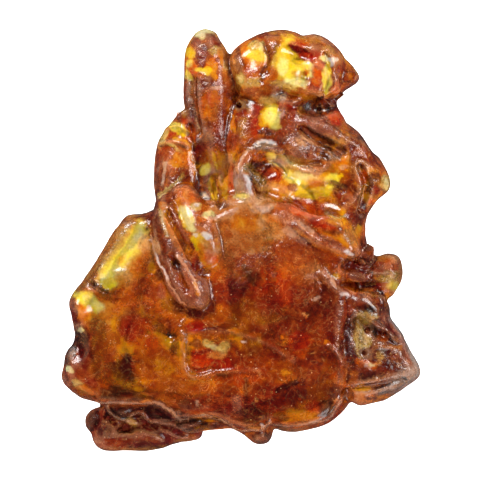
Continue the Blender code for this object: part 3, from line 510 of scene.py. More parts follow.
BRIDGE_TINTS = (
    Patch(Tone.BARK, -1.7, 30.4, 2.2, 2.9),
    Patch(Tone.RUST, 1.3, 29.5, 2.2, 1.4),
    Patch(Tone.OXBLOOD, 0.4, 27.5, 2.8, 1.9),
    Patch(Tone.GARNET, 0.5, 25.3, 1.9, 1.6),
    Patch(Tone.EMBER, 0.7, 24.9, 1.3, 1, 0, 0.5),
    Patch(Tone.TAN, 0.3, 22.6, 1.6, 3),
    Patch(Tone.BRICK, 1.6, 22.2, 1, 3.4, 0, 0.7),
    Patch(Tone.EMBER, 2.9, 24.2, 1.5, 4.2),
    # Painted shade inside the bridge hole
    Patch(Tone.SOOT, -0.7, 27, 1.3, 1, -20, 1, 0.4),
)

CROWN_TINTS = (
    Patch(Tone.COPPER, 9.5, 35.4, 13.5, 8.6, 0, 1),
    Patch(Tone.PLUM, -0.4, 35.4, 1.1, 3.8),
    Patch(Tone.HONEY, 0.9, 37.6, 1.3, 3.2),
    Patch(Tone.GOLD, 3.3, 36.9, 3.2, 2.9, 0, 0.8),
    Patch(Tone.LEMON, 3.1, 36.9, 2.6, 2),
    Patch(Tone.SAND, 2.6, 39, 1.4, 1.1, 30),
    Patch(Tone.CREAM, 4.1, 38.7, 0.8, 1.1),
    Patch(Tone.HONEY, 3.2, 35.2, 1.8, 0.9, 0, 0.7),
    Patch(Tone.TAN, 7.7, 41.8, 4.6, 0.9, 0, 0.8),
    Patch(Tone.AMBER, 8.6, 41, 2.2, 1.4, 0, 0.8),
    Patch(Tone.RUST, 4.9, 40.8, 2, 1),
    Patch(Tone.BRICK, 5.4, 38.6, 1.5, 3),
    Patch(Tone.RUST, 5.9, 36.3, 1.1, 2.8, 0, 0.7),
    Patch(Tone.BARK, 6.9, 38.8, 0.6, 3, 0, 0.7),
    Patch(Tone.YOLK, 9, 38, 2.3, 3.8),
    Patch(Tone.LEMON, 10, 34.9, 4.6, 3.9),
    Patch(Tone.YOLK, 10.6, 35.6, 2.4, 2.2, 0, 0.7),
    Patch(Tone.CREAM, 8.4, 34.7, 1.5, 2.1),
    Patch(Tone.LEMON, 11.7, 32.5, 3.8, 2.2, -12),
    Patch(Tone.CREAM, 10.9, 31.4, 2.8, 0.9, -8),
    Patch(Tone.HONEY, 11.4, 33.1, 1.5, 0.9, 0, 0.5),
    Patch(Tone.HONEY, 12.8, 33.5, 0.9, 1),
    Patch(Tone.TANGERINE, 13, 33.2, 0.4, 0.6),
    Streak(Tone.CREAM, ((12.4, 35.4), (13.5, 35.2), (14.1, 34.1), (13.9, 32.5), (12.7, 31.3)), 0.5),
    Patch(Tone.EMBER, 11.5, 38.5, 2.8, 1.4, -25, 1, 0.4),
    Patch(Tone.EMBER, 13.4, 37.1, 2.6, 1.8, 0, 1, 0.4),
    Patch(Tone.GARNET, 14.9, 38.6, 1.8, 1.4, 0, 0.7),
    Patch(Tone.GARNET, 13.3, 38.3, 0.9, 0.8, 0, 0.8),
    Patch(Tone.EMBER, 14.3, 36, 1.5, 0.8),
    Patch(Tone.TAN, 14, 40.4, 3.6, 1.1, -8, 0.8),
    Patch(Tone.ROSE, 12.6, 41.2, 3, 0.5, -10, 0.7),
    Patch(Tone.ROSE, 17.8, 38.9, 3, 1, -42),
    Patch(Tone.TAN, 17.4, 37.8, 1.8, 1.2, -30, 0.8),
    # Painted highlights on the knob's upper left
    Patch(Tone.CREAM, 16.5, 36.2, 1.5, 0.9),
    Patch(Tone.BLOOM, 18.3, 36.2, 1.5, 0.6),
    Patch(Tone.BLOOM, 18.1, 35.3, 0.7, 0.9, 20, 0.8),
    Patch(Tone.TANGERINE, 15.5, 33.7, 1.7, 2.8),
    Patch(Tone.EMBER, 14.6, 31.2, 2.2, 1.9),
    Patch(Tone.TANGERINE, 14.9, 31.8, 1.2, 1, 0, 0.6),
    Patch(Tone.LEMON, 16.9, 32, 0.9, 3.4, 0, 1, 0.4),
    Patch(Tone.YOLK, 17.5, 34.6, 0.5, 1.7, 12),
    Patch(Tone.BRICK, 19.9, 32.8, 2.3, 3.6),
    Patch(Tone.RUST, 20, 34.6, 1.8, 1.2, 0, 0.7),
    Patch(Tone.TANGERINE, 19, 30.4, 1.2, 1.7, 0, 0.6),
    Patch(Tone.COPPER, 22.1, 33.4, 1.1, 2.2),
    Patch(Tone.TAN, 22.9, 34.2, 0.7, 1.6, 30, 0.7),
    Patch(Tone.GARNET, 4.5, 34.1, 0.9, 1.1),
    Patch(Tone.OXBLOOD, 4.1, 32.7, 0.7, 0.8),
    Patch(Tone.SAND, -0.1, 32.2, 1.1, 1.6),
    Patch(Tone.CREAM, -0.2, 32.2, 0.6, 0.9, 0, 0.6),
    Patch(Tone.SAND, 2.2, 31.6, 2, 1.3, 10),
    Patch(Tone.COPPER, 6, 33.4, 2, 1.6),
    Patch(Tone.SAND, 8.5, 30.9, 3.8, 0.8, -14, 0.7),
    Patch(Tone.PLUM, 5.9, 29.8, 3.6, 2, 0, 0.8),
    # Painted sheen
    Patch(Tone.SILVER, 7.6, 28.9, 1.8, 1.2, 0, 0.55),
)

NECK_TINTS = (
    Patch(Tone.BRICK, 10.5, 24, 10, 5.6, 0, 1),
    Patch(Tone.EMBER, 4.2, 25, 2.2, 3.6, 0, 0.7),
    Patch(Tone.GOLD, 4.4, 24.2, 1.1, 2.4),
    Patch(Tone.YOLK, 5.9, 25.1, 2, 3.1),
    Patch(Tone.LEMON, 6, 25, 1.7, 2.5),
    Patch(Tone.CREAM, 6.2, 24.6, 0.9, 1.4, 0, 0.4),
    Patch(Tone.BARK, 4.8, 21.5, 2, 0.9),
    Patch(Tone.ROSE, 8, 26, 0.8, 2.6, 0, 0.5),
    Patch(Tone.RUST, 10.6, 27.4, 3.2, 1.8),
    # Painted shade in the fold under the crown
    Patch(Tone.OXBLOOD, 12.4, 29, 5.6, 1.1, -6, 0.95),
    Patch(Tone.TAN, 11.9, 25.8, 1, 1.8, 0, 0.7),
    Patch(Tone.BARK, 13.5, 26.7, 1.7, 1.4),
    Patch(Tone.TANGERINE, 16.9, 27.9, 1.3, 0.8),
    Patch(Tone.GARNET, 18.1, 27, 1.6, 2),
    Patch(Tone.OXBLOOD, 17.8, 26.3, 1, 0.9, 0, 0.8),
    Patch(Tone.TANGERINE, 19.2, 24.4, 2, 1.7),
    Patch(Tone.HONEY, 20.6, 22.8, 1, 1.7, 10, 0.8),
    # Painted shade inside the throat hole
    Patch(Tone.SOOT, 15.4, 26.1, 1.2, 1.4, 0, 1, 0.4),
    Patch(Tone.ROSE, 15.6, 24.1, 3.4, 1.3, -24, 0.85),
    Patch(Tone.PLUM, 18.6, 21.8, 2.6, 1.2, -30),
    Patch(Tone.RUST, 15.9, 22.2, 3, 0.9, -24),
    Patch(Tone.UMBER, 15.6, 21.4, 3.2, 1.6, -32, 0.4),
    # Painted shade along the chin crease
    Streak(Tone.OXBLOOD, ((13.3, 22.8), (14.9, 21.3), (16.5, 20.5), (18.5, 19.3)), 0.5, 0.8),
    Patch(Tone.ROSE, 11.3, 19.7, 4.6, 2.9, -20, 1),
    Patch(Tone.BLUSH, 13, 19.2, 2.3, 2, -20, 0.8),
    Patch(Tone.PLUM, 8.6, 20.2, 1.8, 1.7, 0, 0.7),
    Patch(Tone.BRICK, 9.8, 21.9, 3.2, 0.8, 20, 0.8),
    Patch(Tone.UMBER, 16.6, 19, 2, 1.1, -10),
    Patch(Tone.BARK, 17.8, 16.9, 2.8, 1.4),
    # A painted glint
    Patch(Tone.ROSE, 19.6, 17.8, 0.9, 1.4, 0, 0.8),
    Patch(Tone.PLUM, 23.8, 18, 3.6, 5.6, 42, 1),
    Patch(Tone.BRICK, 25.6, 16.4, 1.4, 3.4, 40, 0.5),
    Patch(Tone.COPPER, 22.7, 21.3, 1, 0.8),
    # A painted highlight
    Patch(Tone.BLUSH, 20.2, 14.9, 1.1, 0.6, 20),
    # Painted shade along the lip crease
    Streak(Tone.GARNET, ((9.9, 18.1), (12.1, 16.1), (14.1, 15.5), (16.3, 16.1)), 0.6),
)

POCKET_TINTS = (
    Patch(Tone.BRICK, 1, 11.5, 3.4, 8),
    Patch(Tone.ROSE, -0.8, 12.5, 1.5, 4.2, 0, 0.7),
    Patch(Tone.PLUM, 2.6, 19.4, 3.2, 1.3, 20, 0.8),
    Patch(Tone.RUST, 5, 14.6, 4.2, 3, -10),
    Patch(Tone.COPPER, 3.4, 16.6, 2, 0.9),
    Patch(Tone.OXBLOOD, 4, 14.8, 3.2, 1, -14),
    Patch(Tone.EMBER, 6.9, 13.6, 2.2, 1.6),
    Patch(Tone.TANGERINE, 5.4, 16.2, 1, 0.7),
    Patch(Tone.GOLD, 6.2, 9.4, 2.6, 2.6, 0, 0.6),
    Patch(Tone.BARK, 4, 8.8, 2.5, 2.4, 0, 0.75),
    Patch(Tone.COPPER, 6.6, 8.6, 1.8, 2.2, 0, 0.7),
    Patch(Tone.ROSE, 3.4, 8.4, 1.2, 0.8, 0, 0.6),
    Streak(Tone.MOSS, ((1.3, 14.6), (2.7, 13.1), (3.9, 11.7), (4.4, 10.7)), 1.1, 1),
    Streak(Tone.SAND, ((1.9, 14.2), (3.2, 12.9), (4.3, 11.5)), 0.3, 0.6),
    Streak(Tone.SOOT, ((1.5, 12.6), (2.7, 11.5), (4, 10.5)), 0.4, 0.9),
    # Painted sheen on the pocket's upper rim, with a painted highlight along its top
    Patch(Tone.SILVER, 4.7, 18.6, 2.9, 1, -5),
    Streak(Tone.BLOOM, ((3.3, 19.6), (4.9, 19.8), (6.9, 19.4)), 0.3),
    # Painted highlights along the pocket's rim
    Streak(Tone.BLUSH, ((2.1, 18.5), (0.7, 17.1), (-0.1, 15.5), (0.1, 14.1), (0.9, 12.9), (1.5, 10.9)),
                        0.35),
    Streak(Tone.BLOOM, ((0.9, 12.9), (1.6, 10.9), (1.9, 9.2)), 0.45),
    Streak(Tone.BLUSH, ((1.9, 8.9), (2.9, 7.3), (4.5, 6.3), (5.7, 6.7)), 0.7),
)

RIVER_TINTS = (
    Patch(Tone.GOLD, 12.6, 11.8, 8.2, 4.6, -10, 1),
    Patch(Tone.SAND, 10, 15.2, 4.2, 1.6, -24, 0.7),
    Streak(Tone.LEMON, ((5.9, 16.6), (7.7, 15.1), (9.3, 13.3), (10.9, 11.5), (12.3, 9.9), (14.1, 9.2),
                        (16.1, 10), (17.3, 11.3), (18.3, 12.1)), 1.5, 1),
    Patch(Tone.YOLK, 19.7, 13, 1, 0.5, 20),
    Patch(Tone.LEMON, 6.7, 16.1, 1.9, 1.3),
    Patch(Tone.CREAM, 12.4, 13.1, 2.6, 1.4),
    Patch(Tone.YOLK, 12.1, 10.9, 1.7, 1.4),
    Patch(Tone.YOLK, 16.1, 10.1, 1.4, 1),
    Streak(Tone.YOLK, ((11.3, 9.6), (13.7, 8.9), (16.9, 9.1)), 0.9),
    Patch(Tone.HONEY, 15.3, 11.4, 1.9, 0.9),
    Patch(Tone.BRICK, 10.1, 10.7, 1.4, 1.1),
    Patch(Tone.COPPER, 8, 10.6, 1.4, 1.4, 0, 0.8),
    Patch(Tone.ROSE, 14.4, 14.3, 3.6, 1.3),
    Patch(Tone.BLUSH, 13.2, 14.2, 1.4, 0.8, 0, 0.6),
    Patch(Tone.TANGERINE, 11.7, 6.6, 2.6, 2.1),
    Patch(Tone.TANGERINE, 14.6, 6.3, 3.2, 1.9),
    Patch(Tone.EMBER, 15.6, 4.2, 3.2, 2.4, -20),
    Patch(Tone.GARNET, 18.2, 2.2, 2.4, 1.2, -10),
    Patch(Tone.HONEY, 17.2, 8.1, 2.6, 0.9),
    Patch(Tone.ROSE, 16.7, 5.8, 1.6, 0.7, 0, 0.8),
    Streak(Tone.GOLD, ((16.6, 4.7), (18.3, 4.1), (20.1, 3.7)), 0.8, 1),
    # A painted highlight along the top of the yellow chip
    Streak(Tone.SAND, ((16.7, 5.4), (18.7, 4.6), (20.3, 4.7)), 0.35),
    Patch(Tone.GARNET, 19.6, 9.9, 2.2, 1.9),
    # Painted shade in the cleft over the chip
    Streak(Tone.OXBLOOD, ((17.9, 11.7), (19.3, 11.1), (20.9, 10.3)), 0.6),
    Patch(Tone.BRICK, 20.9, 8, 2.6, 2.4),
    Patch(Tone.ROSE, 20.7, 6.6, 1.3, 0.8, 0, 0.6),
    Patch(Tone.PLUM, 21.6, 11, 1.2, 1.6, 0, 0.7),
    Patch(Tone.TANGERINE, 23.9, 12.5, 1.6, 1.7),
    Patch(Tone.GARNET, 26.5, 11.3, 1.6, 3.3),
    Patch(Tone.RUST, 26.8, 10.1, 1.1, 1.2, 0, 0.8),
    Patch(Tone.SAND, 28.9, 11.6, 1.4, 1.8),
    Patch(Tone.CREAM, 29, 11.4, 0.7, 1.1, 0, 0.6),
    Patch(Tone.TANGERINE, 25.7, 7.6, 1, 0.9),
    Patch(Tone.PLUM, 23.3, 10, 1.2, 3, 0, 0.8),
    Patch(Tone.RUST, 22.8, 5.6, 2.6, 3.4),
    Patch(Tone.GARNET, 24.1, 5.6, 1, 3.4, 0, 0.8),
    Patch(Tone.TAN, 21.4, 0.6, 1.4, 1.9, 30),
    Patch(Tone.TAN, 22.3, 1.8, 0.7, 1.3, -10, 0.8),
    Patch(Tone.GARNET, 24.8, -0.9, 1.6, 2, 0, 0.8),
)

LEFT_LOBE_TINTS = (
    Patch(Tone.BRICK, -14, 15.5, 4.6, 8.2, 0, 1),
    Patch(Tone.COPPER, -13.6, 20.8, 3.6, 3.6, 0, 0.8),
    Patch(Tone.TANGERINE, -10.9, 23, 1.7, 3.4, 0, 1),
    Patch(Tone.TANGERINE, -9.9, 21.4, 1.3, 2),
    Patch(Tone.GOLD, -11.1, 26, 1.1, 1.8),
    Patch(Tone.LEMON, -12.9, 22.6, 2.1, 1.2, -20),
    Patch(Tone.YOLK, -11.7, 21.5, 1.2, 1),
    Patch(Tone.EMBER, -14.1, 21.3, 1.3, 0.6, 0, 0.7),
    Patch(Tone.SAND, -15.6, 20.5, 0.8, 2.6, -14),
    Patch(Tone.BRICK, -13.7, 18.7, 3, 0.9),
    Streak(Tone.SAND, ((-14.7, 19.1), (-13.5, 18.7), (-12.1, 17.9)), 0.35),
    Streak(Tone.GOLD, ((-13.4, 20.1), (-11.7, 19.8), (-10.1, 19)), 0.4),
    Patch(Tone.HONEY, -11.9, 16.4, 2.6, 1.5, -16),
    Patch(Tone.HONEY, -13.1, 15.3, 1.9, 1.2, -16, 0.8),
    Patch(Tone.COPPER, -10.6, 14.2, 1.5, 1.8, 0, 0.8),
    Patch(Tone.OXBLOOD, -9.2, 17, 0.7, 2.6, 14, 0.95),
    Patch(Tone.TAN, -9.6, 16.2, 0.9, 0.8, 0, 0.7),
    Patch(Tone.PLUM, -12.2, 13, 2.6, 1.9),
    Patch(Tone.PLUM, -16.3, 12.6, 1.3, 5, -4),
    Streak(Tone.BLUSH, ((-15.3, 15.4), (-15.5, 13.1), (-15.7, 11.3)), 0.4, 0.7),
    Patch(Tone.UMBER, -10.8, 11.6, 1.8, 1, 0, 0.7),
    # A painted spot of the light shining through a small gap
    Patch(Tone.BLOOM, -8.9, 20.2, 0.4, 0.5),
    Patch(Tone.GARNET, -8.9, 18.9, 0.5, 1, 10),
)

FINGER_TINTS = (
    Streak(Tone.PLUM, ((-15.9, 7.6), (-15.5, 3), (-14.2, -2), (-12.2, -6.4), (-10.2, -10), (-8.4, -12.4)), 4,
                       1, 0.4),
    Streak(Tone.BRICK, ((-14.5, 1), (-13.4, -3), (-11.6, -7.4), (-10.2, -10.2)), 1.7, 0.6),
    Streak(Tone.HONEY, ((-15.7, 7), (-15.1, 4.6), (-13.9, 2), (-12.3, -0.9), (-10.3, -3)), 1.1),
    Streak(Tone.SAND, ((-16.3, 6), (-15.9, 3.6), (-14.9, 1.2)), 0.6, 0.6),
    Patch(Tone.RUST, -8.6, -5.2, 1.7, 3.4, 30),
    Patch(Tone.GARNET, -8.3, -5.4, 1, 2.6, 30, 0.6),
    Patch(Tone.PLUM, -7.1, -9.2, 1.7, 3, 14),
    Patch(Tone.ROSE, -8.5, -12.6, 2.6, 1.5, 20, 0.6),
    Patch(Tone.COPPER, -11.4, -7.8, 0.9, 2.8, 28, 0.5),
    Patch(Tone.UMBER, -12.1, -6.4, 0.7, 1.8, 28, 0.6),
    Patch(Tone.UMBER, -12.9, -4.8, 1.5, 2.2, 30, 0.8, 0.9),
    Patch(Tone.SOOT, -12.9, -4.6, 1.2, 1.7, 30, 1, 0.8),
    # Painted highlights along the finger's edges
    Streak(Tone.BLUSH, ((-12.7, -2.9), (-11.1, -4.9), (-10.3, -6.9), (-9.1, -8.9), (-8.4, -10.7)), 0.35,
                        0.8),
    Streak(Tone.GOLD, ((-9.6, -8.4), (-9.1, -9.6), (-8.8, -10.8)), 0.35, 0.8),
    Streak(Tone.BLUSH, ((-18, 0.8), (-17.6, -1.6), (-16.6, -4.2), (-15.3, -6.2), (-14.4, -8.6), (-12.9, -11),
                        (-11.2, -13)), 0.3, 0.8),
    Streak(Tone.BLOOM, ((-17.1, -2.6), (-16.3, -4.7), (-15.4, -6.1), (-14.7, -7.7)), 0.22, 0.9),
    Patch(Tone.HONEY, -11.2, 7.4, 2.6, 2.8),
    Patch(Tone.COPPER, -11.4, 9.4, 2.4, 1.2, 0, 0.7),
    Patch(Tone.LEMON, -10.9, 4.4, 1.7, 3.2, 22),
    Patch(Tone.CREAM, -11, 4.8, 0.9, 2.4, 22),
    Patch(Tone.CREAM, -9.8, 2.8, 1, 1.6, 22, 0.8),
    Patch(Tone.COPPER, -11.6, 7.1, 0.7, 0.5, 0, 0.8),
    Patch(Tone.SAND, -9.1, 6.8, 1.1, 1.1),
    # A painted highlight
    Patch(Tone.BLOOM, -9, 7.2, 0.6, 0.5, 0, 0.7),
    Patch(Tone.YOLK, -8.3, -0.4, 1.9, 2.4, 28),
    Patch(Tone.HONEY, -7.1, -2, 2.1, 3, 26),
    Patch(Tone.TANGERINE, -6.1, -3.6, 1.7, 2.2, 20, 0.8),
    Patch(Tone.HONEY, -5.9, -5.2, 1.7, 0.7, 10),
    Patch(Tone.GARNET, -4.2, -1.8, 0.7, 2.4, 10, 0.8),
    # Painted highlights
    Patch(Tone.BLOOM, -6.9, 1.1, 1.3, 0.6, -40),
    Patch(Tone.BLOOM, -9.1, 1.1, 0.6, 0.4, 0, 0.6),
    Patch(Tone.ROSE, -7, 3.2, 1.4, 1, 0, 0.8),
    Streak(Tone.RUST, ((-14.3, 6.9), (-13.5, 5.3), (-12.7, 3.7), (-11.7, 1.7), (-10.7, 0.1), (-9.4, -1.8)),
                       0.4, 0.95),
    Streak(Tone.RUST, ((-13.7, 4.9), (-12.7, 2.9), (-11.5, 0.7), (-10.2, -1.3)), 0.25, 0.7),
    Streak(Tone.HONEY, ((-9.3, -1.9), (-7.7, -4), (-6.6, -6)), 0.35, 0.8),
    Patch(Tone.PLUM, -7.9, 9.4, 2, 1.5, -30, 0.8),
    # Painted sheen with a painted highlight
    Patch(Tone.SILVER, -7.4, 8.8, 1.3, 0.7, -42),
    Streak(Tone.BLOOM, ((-7.7, 9.1), (-7.1, 8.6), (-6.6, 8.1)), 0.3, 0.9),
    Patch(Tone.CREAM, -6.6, 5.1, 1.5, 0.8, 0, 1),
    # Painted highlights along the crescent below the spike and along the fold at the finger's top
    Streak(Tone.BLUSH, ((-6.6, 4.6), (-5.4, 4.3), (-4.1, 4.7), (-2.7, 5.5), (-1.1, 6.1)), 0.45, 0.9),
    Streak(Tone.SAND, ((-16.5, 8.7), (-14.9, 10.2), (-13.3, 11.5), (-11.9, 12.9)), 0.5, 0.8),
)

UPPER_FACE_TINTS = (
    Patch(Tone.CLAY, 2, -0.5, 14, 8.5, 0, 0.95, 0.9),
    Patch(Tone.PEACH, -4, 5.6, 3, 2.4, 0, 0.8),
    Patch(Tone.PEACH, 1.6, 7, 5.4, 2.6, 0, 0.8),
    # A painted highlight at the end of the pocket's rim
    Patch(Tone.BLUSH, 3.8, 6.2, 2.4, 0.9, -8, 0.8),
    Patch(Tone.SAND, 0.2, 9, 2, 1.1),
    Patch(Tone.LEMON, 0.4, 9, 1.4, 0.7, 0, 0.8),
    Patch(Tone.HONEY, 1.2, 3.2, 3.8, 2, 0, 0.6),
    Patch(Tone.COPPER, 0.6, 2.6, 2.4, 1.4, 0, 0.5),
    Patch(Tone.UMBER, 2.9, 0.6, 1.2, 0.6, 0, 0.45),
    Patch(Tone.TAN, 6.2, 1.6, 2.6, 2.2, 0, 0.6),
    Patch(Tone.BRICK, -1.6, -3.2, 3.4, 1.8, 0, 0.7),
    Patch(Tone.BRICK, 12.6, -2.8, 8.6, 3.6, -10, 0.8),
    Patch(Tone.ROSE, 10.4, 3.6, 4.4, 1.9, -32),
    # Painted highlights and painted sheen along the crest ridge
    Patch(Tone.BLUSH, 10, 1.8, 2.4, 1, -14, 0.85),
    Patch(Tone.SILVER, 11.6, 0.4, 3.2, 0.9, -20, 0.35),
    Streak(Tone.BLUSH, ((11.5, 3.6), (12.9, 2.5), (14.3, 1.5)), 0.5),
    Streak(Tone.ROSE, ((15, 0.8), (17.7, -0.1), (19.3, -1.3), (21.3, -2.3)), 0.8),
    Patch(Tone.BLOOM, 21.5, -2.4, 1.3, 0.5, -16),
)

MIDDLE_FACE_TINTS = (
    Patch(Tone.RUST, 9, -14.5, 15, 10, 0, 0.9, 0.9),
    Patch(Tone.EMBER, 6.7, -10.5, 6, 5.5, 0, 0.7, 0.9),
    Patch(Tone.BRICK, 3.4, -4.8, 6.2, 2.6, 0, 0.8),
    Patch(Tone.TANGERINE, 6.4, -6.6, 3.6, 2.4, 0, 0.3),
    Patch(Tone.RUST, -2.5, -10, 6, 3.8, 0, 0.85, 0.9),
    Patch(Tone.COPPER, -4.6, -6, 2.2, 2.4, 0, 0.7),
    Patch(Tone.UMBER, -0.5, -9.6, 2.6, 2.4, 0, 0.6, 0.9),
    Patch(Tone.UMBER, 2.1, -6.9, 3, 1.7, -35, 0.65, 0.9),
    Patch(Tone.PLUM, 15.5, -10.5, 8.2, 6.4, 0, 0.7, 0.8),
    Patch(Tone.CLAY, 14, -6.2, 4.4, 2.2, 0, 0.6, 0.9),
    Patch(Tone.PLUM, 15.4, -16.5, 5.4, 5, 0, 0.55),
    Patch(Tone.GARNET, 10.9, -16, 3.6, 4.6, 0, 0.7),
    Patch(Tone.GARNET, 5, -13, 3.6, 2.6, 0, 0.35),
    Patch(Tone.AMBER, -0.6, -15.2, 5.2, 3, 0, 0.85),
    Patch(Tone.AMBER, -3.6, -16.2, 3, 2.2, 0, 0.7),
    Patch(Tone.GARNET, 4, -19.6, 5.4, 2.6, -8, 0.45),
    # A painted glint
    Patch(Tone.COPPER, 2.5, -18.7, 2, 0.6, 0, 0.7),
    Patch(Tone.BRICK, 6, -21.6, 3.6, 2.8, 0, 0.7),
    Patch(Tone.AMBER, 8.7, -26.2, 4.6, 2.4, 0, 0.85),
    Patch(Tone.GOLD, 8.6, -26.2, 1.3, 0.8, 0, 0.3),
    Patch(Tone.RUST, 2.5, -23.4, 4.6, 3, 0, 0.6),
    Patch(Tone.GARNET, 1.2, -22, 3, 1.5, 0, 0.4),
    Patch(Tone.EMBER, 11.6, -19.9, 3, 2.2, 0, 0.6),
    Patch(Tone.UMBER, 15.2, -22.6, 2.8, 2.6, -20, 0.8),
    Patch(Tone.PLUM, 13.6, -26.4, 4.6, 3.2, -30, 0.7),
    Patch(Tone.AMBER, 18, -25.2, 1.9, 1.5, -30, 0.8),
    Patch(Tone.GARNET, 20.4, -27, 1.6, 1.2, 0, 0.7),
    Patch(Tone.PLUM, 18.2, -21.4, 2.8, 3, 0, 0.6),
    Patch(Tone.HONEY, 17.1, -20.3, 0.9, 0.6, 0, 0.8),
    Patch(Tone.OXBLOOD, 21.4, -18, 1.5, 4.2, 0, 0.75),
    # Painted highlights along the cheek line and the cheek ridge
    Streak(Tone.ROSE, ((18.1, -20.9), (19.7, -22.9), (20.9, -24.8)), 0.35, 0.8),
    Streak(Tone.ROSE, ((16.7, -5.9), (17.9, -7.9), (19.1, -9.5), (20.7, -10.7)), 0.6, 0.8),
    Streak(Tone.BLUSH, ((17.1, -6.3), (18.1, -8), (19.3, -9.6)), 0.4, 0.9),
    Patch(Tone.BLOOM, 20.6, -10.8, 1.2, 0.45, -8),
    # Three painted glints
    Patch(Tone.PEACH, 12.9, -14.8, 0.9, 0.4, -30, 0.8),
    Patch(Tone.BLUSH, 15, -11.5, 1.3, 0.5, 24, 0.8),
    Patch(Tone.ROSE, 14, -6.9, 1.6, 0.6, 10, 0.8),
    Patch(Tone.COPPER, 11.6, -5.2, 1.6, 0.5, 10, 0.7),
    Patch(Tone.ROSE, 6.6, -7, 0.7, 0.5, 0, 0.5),
    # Two painted glints
    Patch(Tone.BLOOM, 0.3, -20, 0.5, 0.3),
    Patch(Tone.HONEY, 8.1, -19.3, 0.5, 0.6),
)

